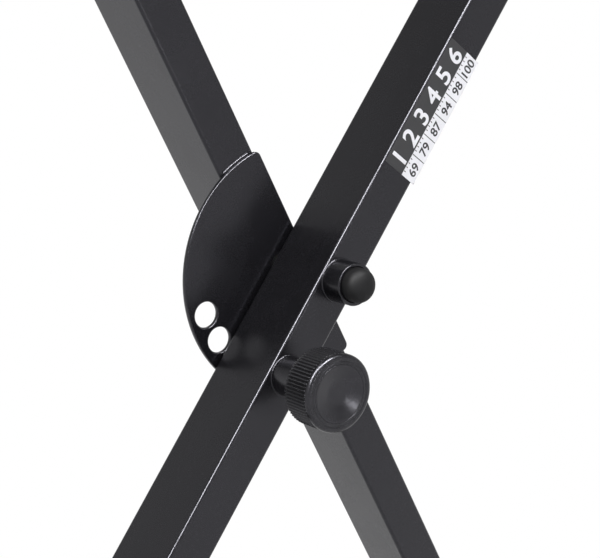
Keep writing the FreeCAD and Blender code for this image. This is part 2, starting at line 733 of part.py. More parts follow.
def bar_nut(name, along):
    foot = "end_plate_thickness + bar_wall"
    block = hexagon(f"{name}_block", "bar_nut_flats", "bar_nut_height", foot, along)
    thread = primitive("Cylinder", f"{name}_thread", f"{foot} - overrun", along,
                       Radius="bar_bolt_diameter / 2 + seat_clearance", Height="bar_nut_height + 2 * overrun")
    return cut(block, thread, name)


def tube_end(prefix, across_sign, tube_sign, is_foot):
    """Build every piece at one end of a tube and put it in place."""
    up_sign = "-" if is_foot else "+"
    turn = Rotation(Y_AXIS, HALF_TURN) if is_foot else Rotation()
    across = f"{across_sign}1 * tube_reach * sin(open_half_angle)"
    along = f"{tube_sign}1 * {TUBE_MIDDLE}"
    end_height = f"{PIVOT_HEIGHT} {up_sign} tube_reach * cos(open_half_angle)"
    bar_height = f"{end_height} {up_sign} (end_plate_thickness + bar_width / 2)"
    length, cap_length = (
        ("foot_bar_length", "foot_cap_length") if is_foot else ("arm_bar_length", "arm_cap_length")
    )
    place(end_plate(f"{prefix}_end_plate"), across, along, end_height, turn)
    place(bar(f"{prefix}_bar", length, along), across, "0", bar_height, turn)
    mouth = f"({length} / 2 + cap_clearance - {cap_length})"
    place(rubber_cap(f"{prefix}_cap_front", cap_length), across, f"0 - {mouth}", bar_height, TO_FRONT)
    place(rubber_cap(f"{prefix}_cap_rear", cap_length), across, mouth, bar_height, TO_REAR)
    for kind, make in (("bolts", bar_bolt), ("washers", bar_washer), ("nuts", bar_nut)):
        pieces = [
            make(f"{prefix}_{kind}_{side}", f"{sign}{BAR_BOLT_SPREAD}")
            for side, sign in (("front", "0 - "), ("rear", ""))
        ]
        place(group(f"{prefix}_{kind}", pieces), across, along, end_height, turn)


tube_end("left_foot", "-", "-", True)
tube_end("right_arm", "+", "-", False)
tube_end("right_foot", "+", "+", True)
tube_end("left_arm", "-", "+", False)

# Check every object, then write one file for each sub-part
doc.recompute()
for item in doc.Objects:
    if {"Invalid", "Error"} & set(item.State):
        raise RuntimeError(f"{item.Label} failed: {item.State}")
for item in nodes:
    if item.Shape.isNull() or not item.Shape.isValid() or not item.Shape.Solids:
        raise RuntimeError(f"{item.Label} has no valid solid")

os.makedirs("parts", exist_ok=True)
for item in nodes:
    item.Shape.exportStep(os.path.join("parts", f"{item.Label}.step"))
    print(f"{item.Label}: {len(item.Shape.Solids)} solids, {item.Shape.Volume:.1f} mm3")
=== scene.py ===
"""Studio picture of a folding X-frame keyboard stand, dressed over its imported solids."""
import json
import logging
import math
from dataclasses import dataclass, field
from enum import Enum

import bmesh
import bpy
import numpy as np
from mathutils import Matrix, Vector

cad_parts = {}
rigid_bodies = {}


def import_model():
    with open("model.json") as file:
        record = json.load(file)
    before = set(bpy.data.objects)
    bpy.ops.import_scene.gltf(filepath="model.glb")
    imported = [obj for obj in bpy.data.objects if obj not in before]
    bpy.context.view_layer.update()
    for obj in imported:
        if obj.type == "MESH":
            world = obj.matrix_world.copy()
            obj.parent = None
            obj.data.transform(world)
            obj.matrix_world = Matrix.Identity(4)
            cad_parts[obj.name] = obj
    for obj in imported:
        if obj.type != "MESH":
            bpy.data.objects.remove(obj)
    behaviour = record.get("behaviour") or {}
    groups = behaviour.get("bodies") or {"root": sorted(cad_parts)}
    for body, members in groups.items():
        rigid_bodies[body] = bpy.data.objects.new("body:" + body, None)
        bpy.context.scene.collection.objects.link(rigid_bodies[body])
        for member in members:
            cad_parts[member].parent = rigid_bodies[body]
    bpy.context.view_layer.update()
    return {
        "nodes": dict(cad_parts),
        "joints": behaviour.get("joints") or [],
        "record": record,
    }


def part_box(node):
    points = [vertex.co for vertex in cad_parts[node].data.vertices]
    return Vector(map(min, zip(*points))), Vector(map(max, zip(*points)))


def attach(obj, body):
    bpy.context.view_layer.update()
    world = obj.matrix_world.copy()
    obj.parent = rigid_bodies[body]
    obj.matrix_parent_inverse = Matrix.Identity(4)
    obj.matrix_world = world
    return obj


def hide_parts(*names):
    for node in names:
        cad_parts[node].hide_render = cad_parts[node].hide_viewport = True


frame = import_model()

PIVOT, KNOB_AXIS = (tuple(next(joint["pos_m"] for joint in frame["joints"] if joint["name"] == name))
                    for name in ("fold", "lock_knob_turn"))

MM = 0.001
X, Y, Z = (1, 0, 0), (0, 1, 0), (0, 0, 1)
WHITE = (1.0, 1.0, 1.0, 1.0)

# How far past a rounding a straight run gets a point, as a share of the rounding's radius
SKIRT_SHARE = 0.08

# How far a cone of 30 degrees spreads while it rises by 1
CONE_REACH = 1.732

# Edges that turn by more degrees than these stay sharp
SHARP, RIB_SHARP, FLAT_SHARP, WELD_SHARP = 38.0, 44.0, 60.0, 80.0

Pair, Triple = tuple[float, float], tuple[float, float, float]
Array, Item, Mesh, Socket = np.ndarray, bpy.types.Object, bpy.types.Mesh, bpy.types.NodeSocket
log = logging.getLogger("keyboard_stand")


class Body(Enum):
    """The bodies that pieces ride on."""

    FRONT = "front_frame"
    REAR = "rear_frame"
    KNOB = "lock_knob"


class Slot(Enum):
    """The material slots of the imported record."""

    PAINT = "black_paint"
    RUBBER = "cap_rubber"
    ZINC = "zinc_steel"
    PLAIN = "weld_nut_steel"
    OXIDE = "black_oxide_steel"
    PIN = "pin_steel"
    SPRING = "spring_steel"
    NYLON = "nylon"
    KNOB = "knob_plastic"
    PLUG = "plug_plastic"
    BRASS = "insert_brass"


# Lines and shells, in millimetres


@dataclass
class Shell:
    """Points with the faces that close them."""

    points: Array
    quads: Array
    ends: list[list[int]] = field(default_factory=list)

    def facing(self, points: Array) -> float:
        """Sum a . (b x c) over the triangles: above zero where the faces look outwards.

        Args:
            points: The shell's points where they are placed.

        Returns:
            Six times the signed volume inside.
        """
        p = points - points.mean(0)
        a, b, c, d = p[self.quads].transpose(1, 0, 2)
        total = (a * np.cross(b, c)).sum() + (a * np.cross(c, d)).sum()
        for end in self.ends:
            q = p[end]
            total += (q[0] * np.cross(q[1:-1], q[2:])).sum()
        return total


def circle(spans: int) -> Array:
    """Divide a full turn into equal angles."""
    return np.linspace(0, 2 * np.pi, spans, endpoint=False)


def turned(a: Array, r: Array | float, h: Array | float) -> Array:
    """Set points round local z by angle, radius and height: (r cos a, r sin a, h)."""
    return np.stack([r * np.cos(a), r * np.sin(a), h + 0 * a], axis=-1)


def straight(length: float, rows: int) -> Array:
    """Draw a straight path for a loft, half of it on each side of the origin."""
    return np.stack([np.zeros(rows), np.linspace(-length / 2, length / 2, rows)], axis=-1)


def outline(corners: list[tuple], closed: bool = False, steps: int = 4) -> Array:
    """Draw a line through corners and round them.

    A corner of radius q between unit directions d and e that turn by t becomes an arc about the point q to
    the inner side of both, from q tan(t / 2) before the corner to as far after it. A point a little further
    out on each side keeps the straight runs flat.

    Args:
        corners: (a, b) or (a, b, radius) for each corner.
        closed: Whether the last corner joins the first.
        steps: Spans in each arc.

    Returns:
        The points of the line, n x 2.
    """
    spots = np.array([corner[:2] for corner in corners], float)
    line = []
    for i, (spot, corner) in enumerate(zip(spots, corners)):
        if len(corner) < 3 or (not closed and i in (0, len(spots) - 1)):
            line.append([spot])
            continue
        d, e = (way / np.hypot(*way) for way in (spot - spots[i - 1], spots[(i + 1) % len(spots)] - spot))
        turn = math.atan2(d[0] * e[1] - d[1] * e[0], d @ e)
        inner = math.copysign(1, turn) * np.array([-d[1], d[0]])
        reach = corner[2] * math.tan(abs(turn) / 2)
        skirt = reach + SKIRT_SHARE * corner[2]
        a = np.linspace(0, abs(turn), steps + 1)[:, None]
        arc = spot - reach * d + corner[2] * (inner + np.sin(a) * d - np.cos(a) * inner)
        line += [[spot - skirt * d], arc, [spot + skirt * e]]
    return np.concatenate(line)


def grid(points: Array, loop: bool = False, capped: bool = False) -> Shell:
    """Lay four-sided faces over a grid of rows whose last column joins the first.

    Args:
        points: Rows x columns x 3.
        loop: Whether the last row joins the first.
        capped: Whether the first and the last row are filled with one face each.

    Returns:
        The shell over the grid.
    """
    index = np.arange(points[..., 0].size).reshape(points.shape[:2])
    ends = [index[0].tolist()[::-1], index[-1].tolist()] if capped else []
    index = np.pad(index, ((0, int(loop)), (0, 1)), "wrap")
    quads = np.stack([index[:-1, :-1], index[:-1, 1:], index[1:, 1:], index[1:, :-1]], axis=-1)
    return Shell(points.reshape(-1, 3), quads.reshape(-1, 4), ends)


def stopped(rows: Array, low: float, high: float) -> Shell:
    """Close a grid of rows by points on local z, one before the first row and one after the last."""
    first, last = (np.zeros_like(rows[:1]) + [0, 0, height] for height in (low, high))
    return grid(np.concatenate([first, rows, last]))


def revolve(line: Array, turns: int = 96, closed: bool = False) -> Shell:
    """Turn a line of (radius, height) about local z, as a ring where the line is a closed outline."""
    return grid(turned(circle(turns), line[:, :1], line[:, 1:]), closed)


@dataclass(frozen=True)
class Section:
    """A rectangle with round corners about the origin, walked anticlockwise."""

    width: float
    depth: float
    radius: float
    steps: int = 5

    def walk(self) -> tuple[Array, Array]:
        """Walk the outline: c + r (cos a, sin a) about each corner's centre c, led in and out by a short run.

        Returns:
            The points and their outward directions, each n x 2.
        """
        a = np.arange(4)[:, None] * np.pi / 2 + np.linspace(0, np.pi / 2, self.steps + 1)
        a = np.pad(a, ((0, 0), (1, 1)), "edge")
        out, run = np.stack([np.cos(a), np.sin(a)], axis=-1), np.stack([-np.sin(a), np.cos(a)], axis=-1)
        half = [self.width / 2 - self.radius, self.depth / 2 - self.radius]
        slide = SKIRT_SHARE * self.radius * np.pad(np.zeros(self.steps + 1), 1, constant_values=(-1, 1))
        centre = np.sign(out.mean(axis=1, keepdims=True)) * half
        return (centre + self.radius * out + slide[:, None] * run).reshape(-1, 2), out.reshape(-1, 2)


def loft(section: Section, path: Array, slope: float = 0.0) -> Shell:
    """Carry a section along its middle line: (p(u) - inset(v) n(u), height(v) + slope x).

    Args:
        section: The rectangle that is carried.
        path: (inset, height) of each row.
        slope: Rise of the rows across the section, for ends cut at an angle.

    Returns:
        The closed shell.
    """
    p, n = section.walk()
    flat = p - path[:, None, :1] * n
    height = path[:, None, 1:] + slope * flat[..., :1]
    return stopped(np.concatenate([flat, height], axis=-1), path[0, 1], path[-1, 1])


def hexagonal(flats: float, path: list, turns: int, phase: float = 0.0, loop: bool = False) -> Shell:
    """Carry a hexagon that a cone trims: r = min(flats / 2 / cos b, trim), b the angle off a flat's middle.

    Args:
        flats: Width across flats.
        path: (trim, height) of each row.
        turns: Spans round the axis, a multiple of 12.
        phase: Turn of the hexagon, of which a corner lies on local x at 0.
        loop: Whether the last row joins the first.

    Returns:
        The hexagon's shell.
    """
    a, path = circle(turns), np.array(path)
    b = (a + phase) % (np.pi / 3) - np.pi / 6
    return grid(turned(a, np.minimum(flats / 2 / np.cos(b), path[:, :1]), path[:, 1:]), loop)


def trim(start: float, height: float, rise: float, rows: int) -> Array:
    """Draw the cone that trims a hexagon: (start + 1.732 |t|, height + t) for t from 0 to the rise."""
    t = np.linspace(0, rise, rows)
    return np.stack([start + CONE_REACH * np.abs(t), height + t], axis=-1)


def threaded(radius: float, start: float, end: float, pitch: float) -> Shell:
    """Wind a V thread: r = radius - 0.6 pitch |2 frac(h / pitch - a / 2 pi) - 1|, run out at the end.

    Args:
        radius: Outer radius.
        start: Height where the thread starts.
        end: Height of the flat end.
        pitch: Rise in one turn.

    Returns:
        The closed shell.
    """
    a = circle(48)
    h = np.linspace(start, end, int((end - start) / pitch * 10) + 2)[:, None]
    wave = np.abs(2 * ((h / pitch - a / (2 * np.pi)) % 1) - 1)
    r = np.minimum(radius - 0.6 * pitch * wave, radius - 0.9 * pitch + (end - h))
    return stopped(turned(a, r, h), start, end)


@dataclass(frozen=True)
class Bead:
    """A weld bead with ripples a pitch apart, as high as a share of its radius."""

    radius: float
    pitch: float = 1.7
    ripple: float = 0.2
    around: int = 14
    spans: int = 6

    def lay(self, path: Array, lift: Array | Triple, closed: bool) -> Shell:
        """Lay the bead along a flat path: p + r(s) (cos a N + sin a B).

        The ripple is r = radius (1 - 0.7 w + w |sin(pi s / pitch)|), and an open bead tapers to its ends.

        Args:
            path: Points of the middle line, n x 3.
            lift: The direction square to the plane of the path.
            closed: Whether the path is a closed line.

        Returns:
            The closed shell.
        """
        ring = np.concatenate([path, path[:1]]) if closed else path
        length = np.concatenate([[0], np.cumsum(np.linalg.norm(np.diff(ring, axis=0), axis=1))])
        s = np.linspace(0, length[-1], int(length[-1] / self.pitch * self.spans), endpoint=not closed)
        p = np.stack([np.interp(s, length, ring[:, k]) for k in range(3)], axis=-1)
        run = np.roll(p, -1, axis=0) - np.roll(p, 1, axis=0) if closed else np.gradient(p, axis=0)
        run /= np.linalg.norm(run, axis=1, keepdims=True)
        r = self.radius * (1 - 0.7 * self.ripple + self.ripple * np.abs(np.sin(np.pi * s / self.pitch)))
        if not closed:
            r *= np.sqrt(np.clip(np.minimum(s, length[-1] - s) / (1.5 * self.radius), 0, 1))
        a = circle(self.around)[:, None]
        around = np.cos(a) * lift + np.sin(a) * np.cross(run, lift)[:, None]
        return grid(p[:, None] + r[:, None, None] * around, closed)


# Pieces


def merge(mesh: Mesh, distance: float) -> None:
    """Join a mesh's points that are closer than a distance.

    Args:
        mesh: The mesh.
        distance: The distance in the mesh's own units.
    """
    work = bmesh.new()
    work.from_mesh(mesh)
    bmesh.ops.remove_doubles(work, verts=work.verts, dist=distance)
    work.to_mesh(mesh)
    work.free()


def show(name: str, data: bpy.types.ID) -> Item:
    """Stand an object with this data in the scene.

    Args:
        name: Name of the object.
        data: A mesh, a curve, a lamp or a camera.

    Returns:
        The object, at the origin.
    """
    item = bpy.data.objects.new(name, data)
    bpy.context.scene.collection.objects.link(item)
    return item


def baked(item: Item) -> Mesh:
    """Make a mesh of an object as its curve, its text or its modifiers leave it."""
    return bpy.data.meshes.new_from_object(item.evaluated_get(bpy.context.evaluated_depsgraph_get()))


def settle(name: str, mesh: Mesh, sharp: float) -> Item:
    """Merge a mesh's doubles, shade it smooth between its sharp edges and show it.

    Args:
        name: Name of the object.
        mesh: The mesh.
        sharp: Edges that turn by more degrees than this stay sharp.

    Returns:
        The object.
    """
    merge(mesh, 1e-7)
    mesh.shade_smooth()
    mesh.set_sharp_from_angle(angle=math.radians(sharp))
    return show(name, mesh)


@dataclass(frozen=True)
class Place:
    """A local frame for shapes in millimetres: its origin in metres and the directions of its x, y and z."""

    origin: Triple
    x: Triple
    y: Triple
    z: Triple

    def put(self, points: Array) -> Array:
        """Carry local points to the frame: origin + (px x + py y + pz z) / 1000."""
        return self.origin + MM * points @ np.array([self.x, self.y, self.z], float)

    def piece(self, name: str, *shells: Shell, sharp: float = SHARP) -> Item:
        """Make one object of shells, with its faces outward and its seams and poles closed.

        Args:
            name: Name of the object.
            *shells: The shells that it is made of.
            sharp: Edges that turn by more degrees than this stay sharp.

        Returns:
            The object, at the origin.
        """
        points, faces, start = [], [], 0
        for shell in shells:
            placed = self.put(shell.points)
            turn = -1 if shell.facing(placed) < 0 else 1
            faces += (shell.quads[:, ::turn] + start).tolist()
            faces += [[start + i for i in end[::turn]] for end in shell.ends]
            points.append(placed)
            start += len(placed)
        mesh = bpy.data.meshes.new(name)
        mesh.from_pydata(np.concatenate(points).tolist(), [], faces)
        return settle(name, mesh, sharp)

    def sheet(self, name: str, loops: list[Array], thickness: float, edge: float) -> Item:
        """Cut a flat piece about the frame's x and y: a filled outline with holes, thick and rounded.

        Args:
            name: Name of the object.
            loops: The outline and the holes, each n x 2.
            thickness: Thickness of the sheet.
            edge: Radius of the rounding along every edge.

        Returns:
            The object, whose flat faces keep their own direction up to the rounding.
        """
        curve = bpy.data.curves.new(name, "CURVE")
        curve.dimensions, curve.fill_mode = "2D", "BOTH"
        curve.extrude, curve.bevel_depth, curve.offset = thickness / 2 - edge, edge, -edge
        curve.bevel_resolution = 2
        for loop in loops:
            spline = curve.splines.new("POLY")
            spline.points.add(len(loop) - 1)
            spline.points.foreach_set("co", np.pad(loop, ((0, 0), (0, 2))).ravel())
            spline.use_cyclic_u = True
        mesh = baked(show(name, curve))
        bpy.data.curves.remove(curve)
        mesh.name = name
        mesh.vertices.foreach_set("co", self.put(np.array([point.co for point in mesh.vertices])).ravel())
        item = settle(name, mesh, FLAT_SHARP)
        height = (np.array([point.co for point in mesh.vertices]) - self.origin) @ self.z / MM
        normals = np.array([normal.vector for normal in mesh.vertex_normals])
        flat = np.abs(height) > thickness / 2 - 1e-3
        normals[flat] = np.sign(height[flat])[:, None] * self.z
        mesh.normals_split_custom_set_from_vertices(normals.tolist())
        return item


# Finishes


class Nodes:
    """Adds nodes to an emptied node tree."""

    def __init__(self, tree: bpy.types.NodeTree) -> None:
        """Empty the tree."""
        self.tree = tree
        tree.nodes.clear()

    def add(self, kind: str, inputs: dict | None = None, **settings: object) -> bpy.types.Node:
        """Add a node, set its settings, and set or link its inputs.

        Args:
            kind: The node's type.
            inputs: Values or sockets by input name or number.
            **settings: Properties of the node.

        Returns:
            The node.
        """
        node = self.tree.nodes.new(kind)
        for key, value in settings.items():
            setattr(node, key, value)
        for key, value in (inputs or {}).items():
            if isinstance(value, Socket):
                self.tree.links.new(value, node.inputs[key])
            else:
                node.inputs[key].default_value = value
        return node

    def math(self, operation: str, *values: Socket | float) -> Socket:
        """Work out one sum of values and sockets."""
        return self.add("ShaderNodeMath", dict(enumerate(values)), operation=operation).outputs[0]

    def shaders(self, share: Socket, first: bpy.types.Node, second: bpy.types.Node) -> bpy.types.Node:
        """Mix two shaders by a share."""
        return self.add("ShaderNodeMixShader", {0: share, 1: first.outputs[0], 2: second.outputs[0]})

    def rays(self) -> tuple[Socket, Socket]:
        """Tell rays from the camera, and rays that are mirrored or pass through."""
        path = self.add("ShaderNodeLightPath").outputs
        return path["Is Camera Ray"], self.math("MAXIMUM", path["Is Glossy Ray"], path["Is Transmission Ray"])


class Graph(Nodes):
    """The nodes of one material round a principled shader."""

    def __init__(self, name: str) -> None:
        """Start a material.

        Args:
            name: Name of the material.
        """
        self.material = bpy.data.materials.new(name)
        self.material.use_nodes = True
        super().__init__(self.material.node_tree)
        self.shader = self.add("ShaderNodeBsdfPrincipled")
        self.output = self.add("ShaderNodeOutputMaterial", {"Surface": self.shader.outputs[0]})
        self.coordinates = self.add("ShaderNodeTexCoord").outputs["Object"]

    def feed(self, name: str, value: Socket) -> None:
        """Link a value into the shader."""
        self.tree.links.new(value, self.shader.inputs[name])

    def noise(self, size: float, detail: float = 2.0, stretch: Triple | None = None) -> Socket:
        """Add noise from 0 to 1.

        Args:
            size: Size of a lump in millimetres.
            detail: Octaves of finer noise.
            stretch: Scale along x, y and z, for brushed or drawn marks.

        Returns:
            The noise.
        """
        where = self.coordinates
        if stretch:
            where = self.add("ShaderNodeMapping", {"Vector": where, "Scale": stretch}).outputs[0]
        inputs = {"Vector": where, "Scale": 1 / (size * MM), "Detail": detail, "Roughness": 0.55}
        return self.add("ShaderNodeTexNoise", inputs).outputs[0]

    def reach(self, where: Socket) -> Socket:
        """Measure how far places lie from the origin."""
        return self.add("ShaderNodeVectorMath", {0: where}, operation="LENGTH").outputs["Value"]

    def span(self, value: Socket, low: float, high: float, start: float = 0.3, end: float = 0.7) -> Socket:
        """Stretch a value from start..end to low..high, held at both ends."""
        inputs = {"Value": value, "From Min": start, "From Max": end, "To Min": low, "To Max": high}
        return self.add("ShaderNodeMapRange", inputs).outputs[0]

    def mix(self, share: Socket, first: Triple | Socket, second: Triple) -> Socket:
        """Mix two colours by a share."""
        first = first if isinstance(first, Socket) else (*first, 1.0)
        return self.add("ShaderNodeMix", {0: share, 6: first, 7: (*second, 1.0)}, data_type="RGBA").outputs[2]

    def gloss(self, roughness: float, *swings: tuple[Socket, float, float]) -> None:
        """Set the roughness to a middle value and the sum of its swings.

        Args:
            roughness: The middle value.
            *swings: Noises, each with the least and the most that it adds.
        """
        total = roughness
        for noise, low, high in swings:
            total = self.math("ADD", self.span(noise, low, high), total)
        self.feed("Roughness", total)

    def relief(self, height: Socket, depth: float) -> None:
        """Raise the surface on top of earlier relief.

        Args:
            height: The height from 0 to 1.
            depth: What it is multiplied by, in millimetres.
        """
        inputs = {"Height": height, "Distance": depth * MM, "Strength": 1.0}
        if self.shader.inputs["Normal"].links:
            inputs["Normal"] = self.shader.inputs["Normal"].links[0].from_socket
        self.feed("Normal", self.add("ShaderNodeBump", inputs).outputs[0])


@dataclass(frozen=True)
class Finish:
    """A surface: its colour, its gloss and the size and height of its grain in millimetres."""

    colour: Triple
    roughness: float
    grain: float
    depth: float
    constants: tuple[tuple[str, float | tuple], ...] = ()

    def tint(self, share: float | Triple) -> Triple:
        """Multiply the colour by one share, or by a share each for red, green and blue."""
        return tuple(np.minimum(1.0, np.multiply(self.colour, share)).tolist())

    def material(self, name: str) -> bpy.types.Material:
        """Build the finish as a material.

        Args:
            name: Name of the material.

        Returns:
            The material.
        """
        graph = Graph(name)
        for socket, value in self.constants:
            graph.shader.inputs[socket].default_value = value
        self.dress(graph)
        return graph.material

    def dress(self, graph: Graph) -> None:
        """Add the finish's own pattern to a material."""
        raise NotImplementedError


@dataclass(frozen=True)
class PowderCoat(Finish):
    """Baked powder paint: an even skin with faint orange peel and slow changes of gloss."""

    peel: float = 2.4
    peel_depth: float = 0.006

    def dress(self, graph: Graph) -> None:
        """Mottle the colour and gloss slowly and raise the peel and the fine grain.

        Args:
            graph: The material's nodes.
        """
        slow, fine = graph.noise(38.0, 3.0), graph.noise(self.grain)
        graph.feed("Base Color", graph.mix(graph.span(fine, 0.0, 1.0), self.tint(0.85), self.tint(1.2)))
        graph.gloss(self.roughness, (slow, -0.03, 0.03), (fine, -0.02, 0.02))
        graph.relief(graph.noise(self.peel, 1.0), self.peel_depth)
        graph.relief(fine, self.depth)


@dataclass(frozen=True)
class MouldedPlastic(Finish):
    """Moulded plastic with a fine spark texture, flow marks and, about an axis, turning rings."""

    axis: Triple | None = None
    ring: float = 0.5
    ring_depth: float = 0.01

    def dress(self, graph: Graph) -> None:
        """Add the spark texture, slow flow marks and the rings of the mould's turned face.

        Args:
            graph: The material's nodes.
        """
        spark, flow = graph.noise(self.grain, 3.0), graph.noise(9.0)
        graph.feed("Base Color", graph.mix(graph.span(flow, 0.0, 1.0), self.tint(0.85), self.tint(1.25)))
        graph.gloss(self.roughness, (flow, -0.05, 0.05), (spark, -0.04, 0.04))
        graph.relief(spark, self.depth)
        if self.axis:
            inputs = {"Vector": graph.coordinates, "Location": (-self.axis[0], 0.0, -self.axis[2]),
                      "Scale": (1.0, 0.0, 1.0)}
            reach = graph.reach(graph.add("ShaderNodeMapping", inputs).outputs[0])
            inputs = {"W": reach, "Scale": 1 / (self.ring * MM), "Detail": 2.0}
            rings = graph.add("ShaderNodeTexNoise", inputs, noise_dimensions="1D").outputs[0]
            graph.relief(rings, self.ring_depth)


@dataclass(frozen=True)
class MouldedRubber(Finish):
    """Moulded rubber: matt, with a fine grain and a little bloom that lies in patches."""

    bloom: float = 1.6

    def dress(self, graph: Graph) -> None:
        """Lay the bloom in soft patches over the grain.

        Args:
            graph: The material's nodes.
        """
        grain, patches = graph.noise(self.grain, 3.0), graph.noise(14.0, 4.0)
        share = graph.span(patches, 0.0, 1.0, 0.4, 0.75)
        graph.feed("Base Color", graph.mix(share, self.colour, self.tint(self.bloom)))
        graph.gloss(self.roughness, (patches, -0.06, 0.08))
        graph.relief(grain, self.depth)


@dataclass(frozen=True)
class BareMetal(Finish):
    """Plated, drawn or turned metal: small crystals or drawn lines and faint changes of tint."""

    warm: Triple = (1.03, 1.0, 0.93)
    stretch: Triple = (1.0, 1.0, 1.0)

    def dress(self, graph: Graph) -> None:
        """Shift the tint in patches and draw the marks along one direction.

        Args:
            graph: The material's nodes.
        """
        graph.shader.inputs["Metallic"].default_value = 1.0
        marks, patches = graph.noise(self.grain, 4.0, self.stretch), graph.noise(4.0, 3.0)
        tint = graph.mix(graph.span(patches, 0.0, 1.0), self.tint(0.92), self.tint(self.warm))
        graph.feed("Base Color", graph.mix(graph.span(marks, 0.0, 0.25), tint, self.tint(0.7)))
        graph.gloss(self.roughness, (patches, -0.05, 0.06), (marks, -0.06, 0.06))
        graph.relief(marks, self.depth)


@dataclass(frozen=True)
class CastNylon(Finish):
    """Natural nylon: milky, with a soft grain and a slight yellowing."""

    yellowing: Triple = (1.0, 0.97, 0.88)

    def dress(self, graph: Graph) -> None:
        """Yellow the colour a little in patches and add the grain.

        Args:
            graph: The material's nodes.
        """
        grain, share = graph.noise(self.grain), graph.span(graph.noise(5.0), 0.0, 1.0)
        graph.feed("Base Color", graph.mix(share, self.colour, self.tint(self.yellowing)))
        graph.gloss(self.roughness, (grain, -0.05, 0.05))
        graph.relief(grain, self.depth)


@dataclass(frozen=True)
class PrintedFilm(Finish):
    """Printed film on the strip: ink with tiny pinholes and a slight waviness of the film."""

    pinholes: Triple = (0.5, 0.5, 0.5)

    def dress(self, graph: Graph) -> None:
        """Let a few pinholes through the ink and wave the film.

        Args:
            graph: The material's nodes.
        """
        share = graph.span(graph.noise(0.9, 4.0), 0.0, 0.8, 0.66, 0.74)
        graph.feed("Base Color", graph.mix(share, self.colour, self.pinholes))
        graph.gloss(self.roughness, (graph.noise(6.0), -0.05, 0.05))
        graph.relief(graph.noise(self.grain), self.depth)


COOL_GLOSS = (("IOR", 1.5), ("Specular Tint", (0.84, 0.83, 0.92, 1.0)))
MILKY = (("Subsurface Weight", 0.15), ("Subsurface Scale", 0.001))

FINISHES = {
    Slot.PAINT: PowderCoat((0.0050, 0.0048, 0.0060), 0.27, 0.35, 0.0012, COOL_GLOSS),
    Slot.RUBBER: MouldedRubber((0.012, 0.012, 0.0125), 0.72, 0.4, 0.02, (("IOR", 1.48),)),
    Slot.ZINC: BareMetal((0.66, 0.67, 0.69), 0.34, 0.5, 0.004),
    Slot.PLAIN: BareMetal((0.42, 0.41, 0.4), 0.46, 0.6, 0.006),
    Slot.OXIDE: BareMetal((0.07, 0.07, 0.075), 0.38, 0.4, 0.004),
    Slot.PIN: BareMetal((0.68, 0.68, 0.67), 0.24, 0.3, 0.003, stretch=(1.0, 0.08, 1.0)),
    Slot.SPRING: BareMetal((0.5, 0.5, 0.5), 0.3, 0.4, 0.003),
    Slot.NYLON: CastNylon((0.8, 0.79, 0.74), 0.45, 0.6, 0.004, MILKY),
    Slot.KNOB: MouldedPlastic((0.0085, 0.0083, 0.0095), 0.28, 0.3, 0.0022, COOL_GLOSS),
    Slot.PLUG: MouldedPlastic((0.0090, 0.0088, 0.0098), 0.60, 0.35, 0.004, (("IOR", 1.25),)),
    Slot.BRASS: BareMetal((0.72, 0.52, 0.25), 0.26, 0.4, 0.003, warm=(1.0, 0.93, 0.85)),
}
CAP_FACE = MouldedPlastic((0.0095, 0.0093, 0.0107), 0.23, 0.45, 0.004, COOL_GLOSS, axis=KNOB_AXIS)
DARK_INK = PrintedFilm((0.026, 0.026, 0.029), 0.38, 2.0, 0.006, pinholes=(0.05, 0.05, 0.055))
WHITE_INK = PrintedFilm((0.80, 0.80, 0.84), 0.42, 2.0, 0.006, pinholes=(0.12, 0.12, 0.13))


class Bench:
    """Where pieces are dressed, fixed to their bodies and reported."""

    def __init__(self) -> None:
        """Start with no finish made and no piece fixed."""
        self.made: dict[str, bpy.types.Material] = {}
        self.stood_for: set[str] = set()

    def paint(self, item: Item, name: str, finish: Finish) -> None:
        """Give an object one finish in its only slot.

        Args:
            item: The object.
            name: Name that the material has or gets.
            finish: The finish.
        """
        if name not in self.made:
            self.made[name] = finish.material(name)
        item.data.materials.clear()
        item.data.materials.append(self.made[name])

    def fix(self, item: Item, body: Body, slot: Slot | None, own: tuple[str, Finish] | None = None) -> None:
        """Dress a piece and let it ride on its body.

        A name that ends in _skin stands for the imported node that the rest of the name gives.

        Args:
            item: The piece, in place.
            body: The body that carries it.
            slot: The record's slot that it takes its finish from.
            own: A name and a finish of its own, where the slot's isn't enough.
        """
        self.paint(item, *(own or (slot.value, FINISHES[slot])))
        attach(item, body.value)
        log.info("%s: %d faces", item.name, len(item.data.polygons))
        node = item.name.removesuffix("_skin")
        if node != item.name:
            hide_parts(node)
            self.stood_for.add(node)
            off = np.abs(np.array(item.bound_box)[[0, 6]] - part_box(node)).max() / MM
            log.info("%s is within %.2f mm of the box of %s", item.name, off, node)

    def dress_nodes(self) -> None:
        """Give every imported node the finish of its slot."""
        slots = {part["node"]: Slot(part["material_slot"]) for part in frame["record"]["subparts"]}
        for node, item in frame["nodes"].items():
            self.paint(item, slots[node].value, FINISHES[slots[node]])
            if node not in self.stood_for:
                log.info("%s keeps its packed shape", node)


# Sub-assemblies


@dataclass
class SubAssembly:
    """What every sub-assembly has: the bench where its pieces are dressed and fixed."""

    bench: Bench

    def weld(self, name: str, place: Place, body: Body, *beads: Shell) -> None:
        """Fix painted weld beads as one piece."""
        self.bench.fix(place.piece(name, *beads, sharp=WELD_SHARP), body, Slot.PAINT)


